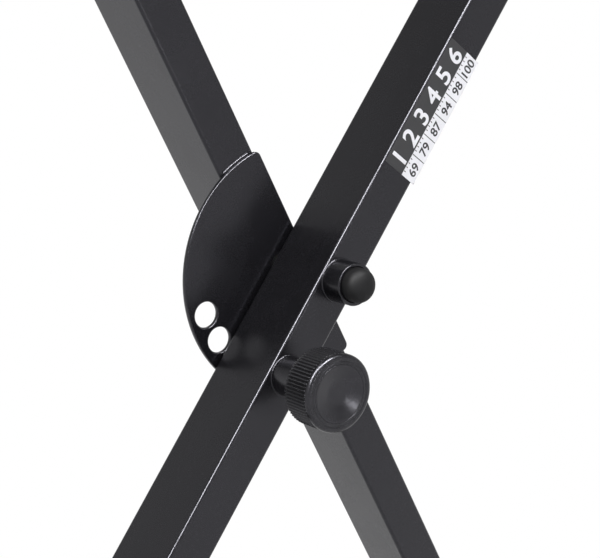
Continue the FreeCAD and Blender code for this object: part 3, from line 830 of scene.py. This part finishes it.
@dataclass
class CrossedTubes(SubAssembly):
    """The two rectangular tubes. Local x runs across a tube, y to the front and z up along it."""

    width: float = 25.0
    depth: float = 45.0
    corner: float = 1.8
    reach: float = 472.5
    rows: int = 25
    half_angle: float = 32.0
    gap: float = 5.05
    pin_bore: float = 7.0
    bore_stop: float = 1.5
    overrun: float = 5.0
    end_bead: Bead = Bead(1.5)
    end_seat: float = 0.35
    stitch: Bead = Bead(1.15)
    stitch_half: float = 12.0
    stitch_inset: float = 0.2
    stitch_drop: float = 0.9
    left_stitches: Triple = (-34.0, 0.0, 46.0)
    right_stitches: Triple = (-46.0, 0.0, 46.0)

    def section(self) -> Section:
        """Draw the section of both tubes."""
        return Section(self.width, self.depth, self.corner, 7)

    def place(self, body: Body) -> Place:
        """Find the frame on the pivot axis, in the middle of a tube's depth.

        Args:
            body: The front frame, whose tube leans to the right, or the rear one, whose tube leans left.

        Returns:
            The frame.
        """
        lean = 1 if body is Body.FRONT else -1
        a = math.radians(self.half_angle)
        middle = -lean * (self.gap + self.depth) / 2 * MM
        return Place((PIVOT[0], middle, PIVOT[2]), (math.cos(a), 0, -lean * math.sin(a)), (0, -1, 0),
                     (lean * math.sin(a), 0, math.cos(a)))

    def outside(self, axis: Triple, side: int) -> Place:
        """Find the frame where an axis leaves the front tube (-1) or rear tube (1), its z pointing away."""
        return Place((axis[0], side * (self.depth + self.gap / 2) * MM, axis[2]), X, Z, (0, side, 0))

    def build(self) -> None:
        """Skin both tubes and weld their ends and the plate."""
        for body, name in ((Body.FRONT, "front_tube"), (Body.REAR, "rear_tube")):
            place = self.place(body)
            slope = -place.x[2] / place.x[0]
            skin = loft(self.section(), straight(2 * self.reach, self.rows), slope)
            tube = place.piece(f"{name}_skin", skin)
            if body is Body.FRONT:
                self.drill(tube)
            self.bench.fix(tube, body, Slot.PAINT)
            self.weld(f"{name}_end_welds", place, body, *self.end_welds(slope))
        self.weld("plate_welds", self.place(Body.REAR), Body.REAR, *self.plate_welds())

    def drill(self, tube: Item) -> None:
        """Drill the lock pin's bore into the front tube from behind, until just before its front face.

        Args:
            tube: The front tube's skin.
        """
        start, end = self.overrun - self.gap / 2, self.bore_stop - self.gap / 2 - self.depth
        line = np.array([(0.0, start), (self.pin_bore, start), (self.pin_bore, end), (0.0, end)])
        place = Place((KNOB_AXIS[0], 0.0, KNOB_AXIS[2]), X, (0, 0, -1), Y)
        drill = place.piece("pin_bore_drill", revolve(line))
        cut = tube.modifiers.new("bore", "BOOLEAN")
        cut.object, cut.operation, cut.solver = drill, "DIFFERENCE", "EXACT"
        drilled = baked(tube)
        tube.modifiers.remove(cut)
        tube.data = drilled
        drilled.set_sharp_from_angle(angle=math.radians(SHARP))
        bpy.data.objects.remove(drill)

    def end_welds(self, slope: float) -> list[Shell]:
        """Lay a bead round each level end, where the tube meets its end plate.

        Args:
            slope: Rise of the ends across the tube.

        Returns:
            The two beads.
        """
        p, n = self.section().walk()
        flat = p + self.end_seat * n
        lift = np.array([-slope, 0.0, 1.0]) / math.hypot(slope, 1.0)
        level = np.concatenate([flat, slope * flat[:, :1]], axis=1)
        return [self.end_bead.lay(level + side * ([0, 0, self.reach] - self.end_seat * lift), lift, True)
                for side in (-1, 1)]

    def plate_welds(self) -> list[Shell]:
        """Stitch the locking plate to the rear tube along both its sides, clear of the holes.

        Returns:
            Three beads on each side.
        """
        beads, front = [], self.depth / 2 - self.stitch_drop
        for side, middles in ((-1, self.left_stitches), (1, self.right_stitches)):
            for middle in middles:
                run = np.linspace(middle - self.stitch_half, middle + self.stitch_half, 60)
                across = side * (self.width / 2 - self.stitch_inset)
                line = np.stack([0 * run + across, 0 * run + front, run], axis=-1)
                beads.append(self.stitch.lay(line, Y, False))
        return beads


@dataclass
class LockingPlate(SubAssembly):
    """The plate with its six pin holes, on the rear tube. Local x runs across that tube, y up along it."""

    tubes: CrossedTubes
    thickness: float = 3.0
    radius: float = 74.0
    arc_inset: float = 3.5
    arc_drop: float = 3.8
    lip: float = 1.9
    foot: float = 68.0
    corner: float = 3.5
    corner_reach: float = 6.0
    heel: float = 12.0
    hole_reach: float = 59.0
    step: float = 17.0
    hole: float = 7.35
    pivot_hole: float = 5.05
    edge: float = 0.8
    bead: Bead = Bead(1.05, 2.6, 0.14)
    bead_seat: float = 0.35
    bead_lift: float = 0.15
    bead_shares: Pair = (-0.44, 0.4)

    def build(self) -> None:
        """Cut the plate and lay the bead where its rim crosses the rear tube."""
        rear = self.tubes.place(Body.REAR)
        middle = (self.tubes.gap - self.thickness) / 2 * MM
        place = Place((PIVOT[0], middle, PIVOT[2]), rear.x, rear.z, rear.y)
        plate = place.sheet("lock_plate_skin", [self.rim(), *self.holes()], self.thickness, self.edge)
        self.bench.fix(plate, Body.REAR, Slot.PAINT)
        x = np.linspace(*self.bead_shares, 60) * self.tubes.width
        up = np.sqrt((self.radius + self.bead_seat) ** 2 - (x - self.arc_inset) ** 2) - self.arc_drop
        line = np.stack([x, up, 0 * x - self.thickness / 2 + self.bead_lift], axis=-1)
        self.weld("lock_plate_rim_weld", place, Body.REAR, self.bead.lay(line, Z, False))

    def rim(self) -> Array:
        """Draw the rim: an arc about a point beside the pivot, a straight edge and a straight foot, rounded.

        Returns:
            The points of the rim, n x 2.
        """
        edge, r = self.tubes.width / 2 + self.lip, self.radius
        cx, cy = self.arc_inset, -self.arc_drop
        tip = math.atan2(math.sqrt(r * r - (edge - cx) ** 2), edge - cx)
        heel = math.atan2(-self.foot - cy, -math.sqrt(r * r - (self.foot + cy) ** 2)) + 2 * math.pi
        arc = turned(np.linspace(tip, heel, 161), r, 0.0)[:, :2] + [cx, cy]
        from_tip, from_heel = (np.hypot(*(arc - arc[end]).T) for end in (0, -1))
        clear = (from_tip > self.corner_reach) & (from_heel > self.heel)
        corners = [(edge, -self.foot, self.corner), (*arc[0], self.corner), *arc[clear],
                   (*arc[-1], self.heel)]
        return outline(corners, closed=True, steps=8)

    def holes(self) -> list[Array]:
        """Draw the pivot hole and the six pin holes, which start two steps above the pin's own.

        Returns:
            The outlines of the holes, each n x 2.
        """
        ring = turned(circle(72), 1.0, 0.0)[:, :2]
        turns = np.radians(270 - 2 * self.tubes.half_angle + self.step * np.arange(-2, 4))
        middles = turned(turns, self.hole_reach, 0.0)[:, :2]
        return [self.pivot_hole * ring, *(middle + self.hole * ring for middle in middles)]


@dataclass(frozen=True)
class Sleeve:
    """A turned sleeve on the front tube's face, with a weld bead round its foot."""

    node: str
    radius: float
    wall: float
    length: float
    outer_rim: float
    inner_rim: float
    bead: Bead = Bead(0.65, 1.7, 0.06)
    seat: float = 0.15

    def build(self, part: SubAssembly, place: Place) -> None:
        """Build the sleeve and its bead.

        Args:
            part: The sub-assembly that it belongs to.
            place: The frame on the tube's face.
        """
        bore, r, top = self.radius - self.wall, self.radius, self.length
        line = outline([(bore, 0.0), (r, 0.0), (r, top, self.outer_rim), (bore, top, self.inner_rim)], True)
        part.bench.fix(place.piece(f"{self.node}_skin", revolve(line, 128, True)), Body.FRONT, Slot.PAINT)
        ring = turned(circle(96), r + self.seat, self.seat)
        part.weld(f"{self.node}_weld", place, Body.FRONT, self.bead.lay(ring, Z, True))


@dataclass
class Pivot(SubAssembly):
    """The pivot's sleeve, dome plug, bolt end, washer and nut. Local z runs away from the tubes."""

    tubes: CrossedTubes
    sleeve: Sleeve = Sleeve("pivot_sleeve", 11.7, 1.9, 14.3, 0.55, 0.35)
    plug_radius: float = 9.5
    plug_foot: float = 12.05
    plug_skirt: float = 2.6
    plug_top: float = 23.5
    plug_power: float = 0.86
    bolt_radius: float = 5.0
    bolt_end: float = 14.4
    thread_start: float = 11.5
    thread_pitch: float = 1.5
    bore: float = 5.05
    washer_radius: float = 10.0
    washer: float = 1.6
    nut_flats: float = 17.0
    nut_trim: float = 0.9
    nut_flat_share: float = 0.95
    nut_shoulder: float = 9.6
    nut_crown: float = 12.4
    collar: float = 7.5
    collar_bore: float = 6.5

    def build(self) -> None:
        """Build the front sleeve and plug and the rear fasteners."""
        front, rear = self.tubes.outside(PIVOT, -1), self.tubes.outside(PIVOT, 1)
        fix, bore, r, top = self.bench.fix, self.bore, self.washer_radius, self.washer
        self.sleeve.build(self, front)
        fix(front.piece("pivot_plug_skin", revolve(self.dome(), 128)), Body.FRONT, Slot.PLUG)
        washer = revolve(outline([(bore, 0.0), (r, 0.0, 0.3), (r, top, 0.4), (bore, top)], True), closed=True)
        fix(rear.piece("pivot_rear_washer_skin", washer), Body.REAR, Slot.ZINC)
        fix(rear.piece("pivot_nut_skin", self.nut()), Body.REAR, Slot.ZINC)
        tail = threaded(self.bolt_radius, self.thread_start, self.bolt_end, self.thread_pitch)
        fix(rear.piece("pivot_bolt_thread", tail, sharp=FLAT_SHARP), Body.REAR, Slot.OXIDE)

    def dome(self) -> Array:
        """Draw the plug's outline: a straight skirt, then (R cos^e a, s + H sin^e a) with the plug's power e.

        Returns:
            The line from the middle of the foot to the middle of the top.
        """
        r, start = self.plug_radius, self.sleeve.length + self.plug_skirt
        a = np.linspace(0, np.pi / 2, 30)
        c, s = (np.clip(wave, 0, 1) ** self.plug_power for wave in (np.cos(a), np.sin(a)))
        skirt = outline([(0.0, self.plug_foot), (r, self.plug_foot, 0.4), (r, start - 0.3)])
        return np.concatenate([skirt, np.stack([r * c, start + (self.plug_top - start) * s], axis=-1)])

    def nut(self) -> Shell:
        """Draw the lock nut: a hexagon trimmed by cones at both ends, with a domed collar round its nylon.

        Returns:
            The nut's shell.
        """
        start, crown, inner = self.nut_flats / 2 * self.nut_flat_share, self.nut_crown, self.collar_bore
        foot = trim(start, self.washer, self.nut_trim, 6)
        shoulder = trim(start, self.nut_shoulder, -self.nut_trim, 6)[::-1]
        collar = outline([(self.collar, self.nut_shoulder), (self.collar, crown - 0.4, 1.0),
                          (inner + 0.2, crown, 0.3), (inner, crown - 0.5), (inner, crown - 0.8),
                          (self.bore, crown - 0.8)])
        path = [(self.bore, self.washer), *foot, *shoulder, *collar]
        return hexagonal(self.nut_flats, path, 96, np.pi / 6, True)


@dataclass
class Lock(SubAssembly):
    """The lock's sleeve and ribbed knob. Local z runs to the front from the tube's face."""

    tubes: CrossedTubes
    sleeve: Sleeve = Sleeve("lock_sleeve", 11.0, 2.8, 26.6, 0.7, 0.3)
    radius: float = 20.9
    back: float = 24.4
    front: float = 44.8
    ribs: int = 70
    rib_end: float = 41.6
    rib_foot: float = 19.4
    groove: float = 1.0
    lip: float = 18.2
    valley: float = 17.4
    valley_depth: float = 0.45
    ridge: float = 16.7
    recess: float = 11.3
    socket: float = 9.0
    web: float = 2.0
    cone: float = 7.7
    cap_radius: float = 15.6
    cap_seat: float = 3.2
    cap_play: float = 0.06
    dish: float = 2.3
    dish_edge: float = 14.6
    dish_flat: float = 6.0

    def build(self) -> None:
        """Build the sleeve, the knob and the disc in its face."""
        place = self.tubes.outside(KNOB_AXIS, -1)
        self.sleeve.build(self, place)
        knob = place.piece("lock_knob_skin", self.ribbed(), sharp=RIB_SHARP)
        self.bench.fix(knob, Body.KNOB, Slot.KNOB)
        disc = place.piece("knob_cap_skin", revolve(self.disc(), 160))
        self.bench.fix(disc, Body.KNOB, Slot.KNOB, ("knob_cap_face", CAP_FACE))

    def ribbed(self) -> Shell:
        """Turn the knob's outline and press in the flutes: r - groove ((1 + cos(ribs a)) / 2)^1.1 w(r, h).

        The weight w is 1 on the outer wall up to the groove behind the front rim, and 0 on the inner faces.

        Returns:
            The knob's shell.
        """
        big, back, front, seat = self.radius, self.back, self.front, self.front - self.cap_seat
        low, step = big - self.groove - 0.15, self.rib_end + 0.1
        corners = [(self.recess, back, 0.3), (big - 0.8, back, 0.3), (big, back + 0.9, 0.5), (big, back + 4),
                   (big, self.rib_end, 0.3), (low, step, 0.1), (low, step + 0.45, 0.1),
                   (big, step + 0.55, 0.3), (big, front, 2.2), (self.lip, front, 0.3),
                   (self.valley, front - self.valley_depth, 0.5), (self.ridge, front - 0.05, 0.4),
                   (self.cap_radius, front, 0.15), (self.cap_radius, seat), (self.socket, seat),
                   (self.socket, seat - self.web), (self.recess, seat - self.cone)]
        line = outline(corners, closed=True, steps=6)
        a, r, h = circle(self.ribs * 10), line[:, :1], line[:, 1:]
        weight = np.clip((r - self.rib_foot) / 0.9, 0, 1) * (h < step - 0.01)
        flute = ((1 + np.cos(self.ribs * a)) / 2) ** 1.1
        return grid(turned(a, r - self.groove * flute * weight, h), loop=True)

    def disc(self) -> Array:
        """Draw the disc's outline: a shallow cone that eases into a flat middle, with a narrow rim.

        Returns:
            The line from the middle of the face to the middle of the back.
        """
        rim, front, middle = self.cap_radius - self.cap_play, self.front, self.front - self.dish
        back = front - self.cap_seat + 0.1
        return outline([(0.0, middle), (self.dish_flat, middle + 0.05, 14.0),
                        (self.dish_edge, front - 0.1, 1.5), (rim, front - 0.05, 0.15), (rim, back),
                        (0.0, back)], steps=6)


@dataclass
class TubeEnd(SubAssembly):
    """What is at one end of a tube: a plate, a bar, two rubber caps and two bolts with washers and nuts."""

    prefix: str
    body: Body
    plate_edge: float = 0.5
    plate_corner: float = 4.0
    bar_corner: float = 2.5
    cap_corner: float = 5.0
    cap_mouth: float = 2.3
    cap_inset: float = 0.3
    cap_round: float = 4.2
    ribs_start: float = 6.0
    ribs_end: float = 24.0
    rib_pitch: float = 3.0
    head_flats: float = 13.0
    head_height: float = 5.3
    shank: float = 4.0
    shank_end: float = -13.7
    washer_radius: float = 8.0
    washer_bore: float = 4.25
    washer: float = 1.6

    def span(self, node: str) -> tuple[Array, Array]:
        """Find a node's middle in metres and its size in millimetres."""
        low, high = (np.array(corner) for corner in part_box(f"{self.prefix}_{node}"))
        return (low + high) / 2, (high - low) / MM

    def fix(self, node: str, place: Place, slot: Slot, *shells: Shell) -> None:
        """Make and fix the piece that stands for one node."""
        self.bench.fix(place.piece(f"{self.prefix}_{node}_skin", *shells), self.body, slot)

    def build(self) -> None:
        """Build the plate, the bar, the caps and the visible fasteners."""
        middle, (width, depth, height) = self.span("end_plate")
        top, edge = height / 2, self.plate_edge
        path = outline([(3.0, -top), (0.0, -top, edge), (0.0, top, edge), (3.0, top)])
        plate = loft(Section(width, depth, self.plate_corner), path)
        self.fix("end_plate", Place(tuple(middle), X, Y, Z), Slot.PAINT, plate)

        middle, (width, length, height) = self.span("bar")
        bar = loft(Section(width, height, self.bar_corner), straight(length, 9))
        self.fix("bar", Place(tuple(middle), X, Z, Y), Slot.PAINT, bar)

        for end, side in (("cap_front", -1), ("cap_rear", 1)):
            middle, (width, length, _) = self.span(end)
            mouth = (middle[0], middle[1] - side * length / 2 * MM, middle[2])
            self.fix(end, Place(mouth, X, Z, (0, side, 0)), Slot.RUBBER, self.cap(width, length))

        up = 1 if "arm" in self.prefix else -1
        middle, (_, spread, _) = self.span("washers")
        place = Place((middle[0], middle[1], middle[2] + up * self.washer / 2 * MM), X, Y, (0, 0, -up))
        shift = np.array([0, spread / 2 - self.washer_radius, 0])
        for kind, shell in (("washers", self.ring()), ("bolts", self.bolt())):
            pair = (Shell(shell.points + side * shift, shell.quads) for side in (-1, 1))
            self.fix(kind, place, Slot.ZINC, *pair)

    def cap(self, width: float, length: float) -> Shell:
        """Mould a cap: a lip at its mouth, a ribbed body and a rounded end, inset from a square section.

        The ribs are grooves of a raised cosine over the body: inset + 0.3 (1 - cos(2 pi h / pitch)).

        Args:
            width: Outer width.
            length: Length with the closed end.

        Returns:
            The closed shell.
        """
        inset, start, end = self.cap_inset, self.ribs_start, self.ribs_end
        h = np.linspace(start, end, 73)
        ribs = np.stack([inset + 0.3 * (1 - np.cos(2 * np.pi * (h - start) / self.rib_pitch)), h], axis=-1)
        mouth = outline([(self.cap_mouth, length - 4.0), (self.cap_mouth, 0.0, 0.5), (0.0, 0.0, 0.9),
                         (0.0, 4.0, 0.3), (inset, 4.6, 0.3), (inset, start - 0.4)])
        crown = outline([(inset, end + 0.4), (inset, length, 2.6), (self.cap_round, length)], steps=6)
        return loft(Section(width, width, self.cap_corner, 6), np.concatenate([mouth, ribs, crown]))

    def ring(self) -> Shell:
        """Draw a washer with rounded edges, its foot at height 0."""
        bore, r, top = self.washer_bore, self.washer_radius, self.washer
        return revolve(outline([(bore, 0.0, 0.2), (r, 0.0, 0.25), (r, top, 0.35), (bore, top, 0.25)], True),
                       64, True)

    def bolt(self) -> Shell:
        """Draw a hex bolt: a shank below and a head trimmed by a cone above the washer.

        Returns:
            The closed shell.
        """
        half, foot, top = self.head_flats / 2, self.washer, self.washer + self.head_height
        shank = [(0.0, self.shank_end), (self.shank - 0.7, self.shank_end),
                 (self.shank, self.shank_end + 0.7), (self.shank, foot)]
        crown = [*trim(half * 0.93, top, -1.0, 7)[::-1], (half * 0.9, top), (half * 0.84, top - 0.12)]
        return hexagonal(self.head_flats, [*shank, (half * 1.2, foot), *crown, (0.0, top - 0.12)], 72)


@dataclass
class NumberStrip(SubAssembly):
    """A printed strip on the front tube's face: a dark field with six numbers and a white band with a scale.

    Distances across are walked round the tube's section from the middle of its front face.
    """

    tubes: CrossedTubes
    start: float = 69.5
    end: float = 150.3
    left: float = -11.3
    split: float = 3.2
    right: float = 13.9
    film: float = 0.14
    ink: float = 0.03
    scale_ink: float = 0.02
    digit: float = 11.6
    digit_shift: float = 0.4
    small_digit: float = 5.8
    small_inset: float = 6.1
    bold_share: float = 0.028
    tick_inset: float = 0.3
    tick_half: float = 0.25
    tick: float = 1.3
    long_tick: float = 10.1
    heights: tuple[int, ...] = (69, 79, 87, 94, 98, 100)

    def bend(self, across: Array, lift: Array) -> Array:
        """Lay the strip on the tube: straight on the face, and round the left corner past the flat's end f.

        There the angle is (-s - f) / r, with the corner's radius r. The right edge stays flat, so it stands
        off the other corner and reaches past the tube's side.

        Args:
            across: Walked distances s.
            lift: Heights above the paint.

        Returns:
            Local x and y of the points.
        """
        r, flat, front = self.tubes.corner, self.tubes.width / 2 - self.tubes.corner, self.tubes.depth / 2
        turn = np.maximum(-across - flat, 0.0) / r
        x = np.maximum(across, -flat) - (r + lift) * np.sin(turn)
        return np.stack([x, front - r + (r + lift) * np.cos(turn)], axis=-1)

    def patch(self, across: Pair, along: Pair, low: float, high: float) -> Shell:
        """Make a thin patch that follows the tube's face.

        Args:
            across: Where it starts and ends across.
            along: Where it starts and ends along the tube.
            low: Height of its underside.
            high: Height of its face.

        Returns:
            The closed shell.
        """
        s = np.linspace(*across, max(2, int((across[1] - across[0]) / 0.5)))[:, None] + np.zeros(4)
        points = self.bend(s, np.array([low, high, high, low]) + 0 * s)
        run = np.repeat(along, 2) + 0 * s
        return grid(np.concatenate([points, run[..., None]], axis=-1), capped=True)

    def digits(self, text: str, size: float, across: float, along: float, low: float, high: float) -> Shell:
        """Set a number on the strip, read upwards along the tube.

        Its outline is pushed out by d, the bold share of its size, along each corner's bisector:
        2 d (n1 + n2) / |n1 + n2|^2, with the normals n1 and n2 of the walls that meet there.

        Args:
            text: The number.
            size: Height of the figures.
            across: Middle of the figures across the tube.
            along: Middle of the figures along the tube.
            low: Height of their underside.
            high: Height of their face.

        Returns:
            The shell of the figures.
        """
        curve = bpy.data.curves.new("figures", "FONT")
        curve.body, curve.size, curve.extrude, curve.resolution_u = text, size * 1.4, 0.5, 6
        mesh = baked(show("figures", curve))
        bpy.data.curves.remove(curve)
        merge(mesh, size * 0.006)
        flat = np.array([point.co for point in mesh.vertices])
        push = np.zeros((len(flat), 2))
        for polygon in mesh.polygons:
            if abs(polygon.normal.z) < 0.5:
                push[list(polygon.vertices)] += polygon.normal[:2]
        flat[:, :2] += 2 * self.bold_share * size * push / (push ** 2).sum(1, keepdims=True)
        least, most = flat.min(0), flat.max(0)
        scale = size / (most[1] - least[1])
        flat = (flat - (least + most) / 2) * [scale, scale, 1.0]
        lift = low + (high - low) * (flat[:, 2] + 0.5)
        points = np.concatenate([self.bend(across - flat[:, 1], lift), along + flat[:, :1]], axis=-1)
        ends = [list(polygon.vertices) for polygon in mesh.polygons]
        bpy.data.meshes.remove(mesh)
        return Shell(points, np.zeros((0, 4), int), ends)

    def build(self) -> None:
        """Lay the dark field, the white band, the six position numbers, and their heights with a scale."""
        place, whole, film = self.tubes.place(Body.FRONT), (self.start, self.end), self.film
        top = film + self.ink
        high, inset = top + self.scale_ink, self.split + self.tick_inset
        middle, small = (self.left + self.split) / 2 + self.digit_shift, self.split + self.small_inset
        step = (self.end - self.start) / len(self.heights)
        under = [self.patch((self.left, self.right), whole, 0.01, film)]
        white, dark = [self.patch((self.split, self.right), whole, film, top)], []
        for i, along in enumerate(np.linspace(*whole, 31)[1:-1], 1):
            reach = self.tick if i % 5 else self.long_tick
            spread = (along - self.tick_half, along + self.tick_half)
            dark.append(self.patch((inset, inset + reach), spread, top, high))
        for i, height in enumerate(self.heights):
            along = self.start + (i + 0.5) * step
            white.append(self.digits(str(i + 1), self.digit, middle, along, film, top))
            dark.append(self.digits(str(height), self.small_digit, small, along, top, high))
        for name, shells, ink in (("film", under, ("dark_ink", DARK_INK)),
                                  ("white_print", white, ("white_ink", WHITE_INK)),
                                  ("scale", dark, ("dark_ink", DARK_INK))):
            self.bench.fix(place.piece(f"number_strip_{name}", *shells), Body.FRONT, None, ink)


# Studio


def pose(x: Array, y: Array, z: Array, spot: Array) -> Matrix:
    """Build the matrix that stands an object at a spot, with its own axes along x, y and z."""
    return Matrix([*np.stack([x, y, z, spot], axis=1), (0.0, 0.0, 0.0, 1.0)])


@dataclass(frozen=True)
class Lamp:
    """A soft box that looks at the pivot, with its middle and its long direction in metres from there.

    A strip that only shows in gloss draws the thin lines of light along rounded edges.
    """

    name: str
    middle: Triple
    width: float
    length: float
    power: float
    along: Triple = (0.0, 0.0, 1.0)
    gloss_only: bool = False

    def light(self, flagged: bpy.types.Collection) -> None:
        """Hang the soft box at its middle and turn it to the pivot, its length along its long direction.

        Args:
            flagged: The pieces that a strip leaves unlit.
        """
        back = np.array(self.middle) / np.linalg.norm(self.middle)
        side = np.cross(self.along, back)
        side /= np.linalg.norm(side)
        data = bpy.data.lights.new(self.name, "AREA")
        data.shape, data.energy = "RECTANGLE", self.power
        data.size, data.size_y = self.width, self.length
        item = show(self.name, data)
        item.matrix_world = pose(side, np.cross(back, side), back, np.array(PIVOT) + self.middle)
        item.visible_camera, item.visible_diffuse = False, not self.gloss_only
        if self.gloss_only:
            item.light_linking.receiver_collection = flagged


@dataclass
class Studio:
    """The pale floor, the bright surround, the lamps and the camera."""

    heading: float = 37.355
    rise: float = 9.166
    roll: float = 3.145
    lens: float = 88.313
    sensor: float = 36.0
    distance: float = 834.27
    aside: float = -5.594
    above: float = 6.396
    ahead: float = 2.525
    floor_radius: float = 3200.0
    floor_thickness: float = 4.0
    floor_gap: float = 0.5
    floor_level: float = 0.86
    surround: float = 0.5
    dimming: tuple[Pair, ...] = ((0.0, 0.85), (0.12, 0.72), (0.3, 0.52), (0.51, 0.5), (0.57, 0.33),
                                 (0.9, 0.18))
    lamps: tuple[Lamp, ...] = (
        Lamp("key_light", (0.19, -1.18, 1.48), 0.5, 0.5, 22.0),
        Lamp("edge_strip_left", (-1.212, -0.627, 1.141), 0.36, 1.3, 92.0, (0.63, 0.04, 0.775), True),
        Lamp("edge_strip_above", (-0.15, -1.02, 1.50), 0.36, 1.1, 75.0, (1.0, 0.0, 0.02), True),
        Lamp("face_light", (0.470, -1.817, -0.057), 0.16, 0.16, 1.7),
        Lamp("rear_light", (1.32, 1.54, 1.32), 0.9, 0.9, 10.0),
    )

    def build(self) -> None:
        """Set up the floor, the surround, the lamps and the camera."""
        flagged = self.flag()
        self.floor()
        self.world()
        for lamp in self.lamps:
            lamp.light(flagged)
        self.camera()
        bpy.context.scene.view_settings.view_transform = "Standard"

    def flag(self) -> bpy.types.Collection:
        """Gather the plates and bars at the tubes' ends, whose flat faces would mirror a whole strip.

        Returns:
            The collection of the pieces that the strips leave unlit.
        """
        flagged = bpy.data.collections.new("flagged")
        for item in bpy.context.scene.objects:
            if item.name.endswith(("_bar_skin", "_end_plate_skin")):
                flagged.objects.link(item)
        for entry in flagged.collection_objects:
            entry.light_linking.link_state = "EXCLUDE"
        return flagged

    def floor(self) -> None:
        """Lay a round pale floor that keeps the shadow and reads as white from afar."""
        disc = turned(circle(96), self.floor_radius, 0.0)
        slab = grid(np.stack([disc - [0, 0, self.floor_thickness], disc]), capped=True)
        item = Place((0, 0, -self.floor_gap * MM), X, Y, Z).piece("floor", slab)
        graph = Graph("pale_floor")
        graph.shader.inputs["Base Color"].default_value = (*[self.floor_level] * 3, 1.0)
        graph.shader.inputs["Specular IOR Level"].default_value = 0.1
        graph.gloss(0.7, (graph.noise(300.0), 0.0, 0.1))
        glow = graph.add("ShaderNodeEmission", {"Color": WHITE, "Strength": 1.0})
        seen = graph.math("MAXIMUM", *graph.rays())
        far = graph.span(graph.reach(graph.coordinates), 0.7, 1.0, 0.35, 0.75)
        mixed = graph.shaders(graph.math("MULTIPLY", seen, far), graph.shader, glow)
        graph.tree.links.new(mixed.outputs[0], graph.output.inputs[0])
        item.data.materials.append(graph.material)

    def world(self) -> None:
        """Surround the stand with white, seen and mirrored, that dims towards the ceiling in reflections."""
        world = bpy.data.worlds.new("surround")
        world.use_nodes = True
        nodes = Nodes(world.node_tree)
        where = nodes.add("ShaderNodeSeparateXYZ", {0: nodes.add("ShaderNodeTexCoord").outputs["Generated"]})
        ramp = nodes.add("ShaderNodeValToRGB", {0: where.outputs["Z"]})
        stops = ramp.color_ramp.elements
        while len(stops) < len(self.dimming):
            stops.new(0.5)
        for stop, (height, level) in zip(stops, self.dimming):
            stop.position, stop.color = height, (level, level, level, 1.0)
        seen, soft, dimmed = (nodes.add("ShaderNodeBackground", {"Color": colour, "Strength": strength})
                              for colour, strength in ((WHITE, 1.0), (WHITE, self.surround),
                                                       (ramp.outputs[0], 1.0)))
        camera, mirrored = nodes.rays()
        mixed = nodes.shaders(camera, nodes.shaders(mirrored, soft, dimmed), seen)
        nodes.add("ShaderNodeOutputWorld", {"Surface": mixed.outputs[0]})
        bpy.context.scene.world = world

    def camera(self) -> None:
        """Stand the camera where the picture was taken from.

        With heading h and rise e, back = (-cos e sin h, -cos e cos h, sin e) points from the pivot to the
        camera, and right = (cos h, -sin h, 0). Both side directions are rolled about back.
        """
        h, e, roll = (math.radians(angle) for angle in (self.heading, self.rise, self.roll))
        back = np.array([-math.cos(e) * math.sin(h), -math.cos(e) * math.cos(h), math.sin(e)])
        level = np.array([math.cos(h), -math.sin(h), 0.0])
        upright = np.cross(back, level)
        right = math.cos(roll) * level + math.sin(roll) * upright
        up = -math.sin(roll) * level + math.cos(roll) * upright
        away = self.distance * back - self.aside * right - self.above * up - [0.0, self.ahead, 0.0]
        data = bpy.data.cameras.new("camera")
        data.lens, data.sensor_width = self.lens, self.sensor
        data.clip_start, data.clip_end = 0.05, 50.0
        item = show("camera", data)
        item.matrix_world = pose(right, up, back, PIVOT + MM * away)
        bpy.context.scene.camera = item


def main() -> None:
    """Build every sub-assembly in order, then the studio."""
    logging.basicConfig(level=logging.INFO, format="%(name)s: %(message)s")
    bench = Bench()
    tubes = CrossedTubes(bench)
    crossing = [tubes, *(kind(bench, tubes) for kind in (LockingPlate, Pivot, Lock))]
    ends = [TubeEnd(bench, *end) for end in (("left_foot", Body.FRONT), ("right_arm", Body.FRONT),
                                             ("right_foot", Body.REAR), ("left_arm", Body.REAR))]
    for part in (*crossing, *ends, NumberStrip(bench, tubes)):
        log.info("%s", type(part).__name__)
        part.build()
    bench.dress_nodes()
    Studio().build()


if __name__ == "__main__":
    main()
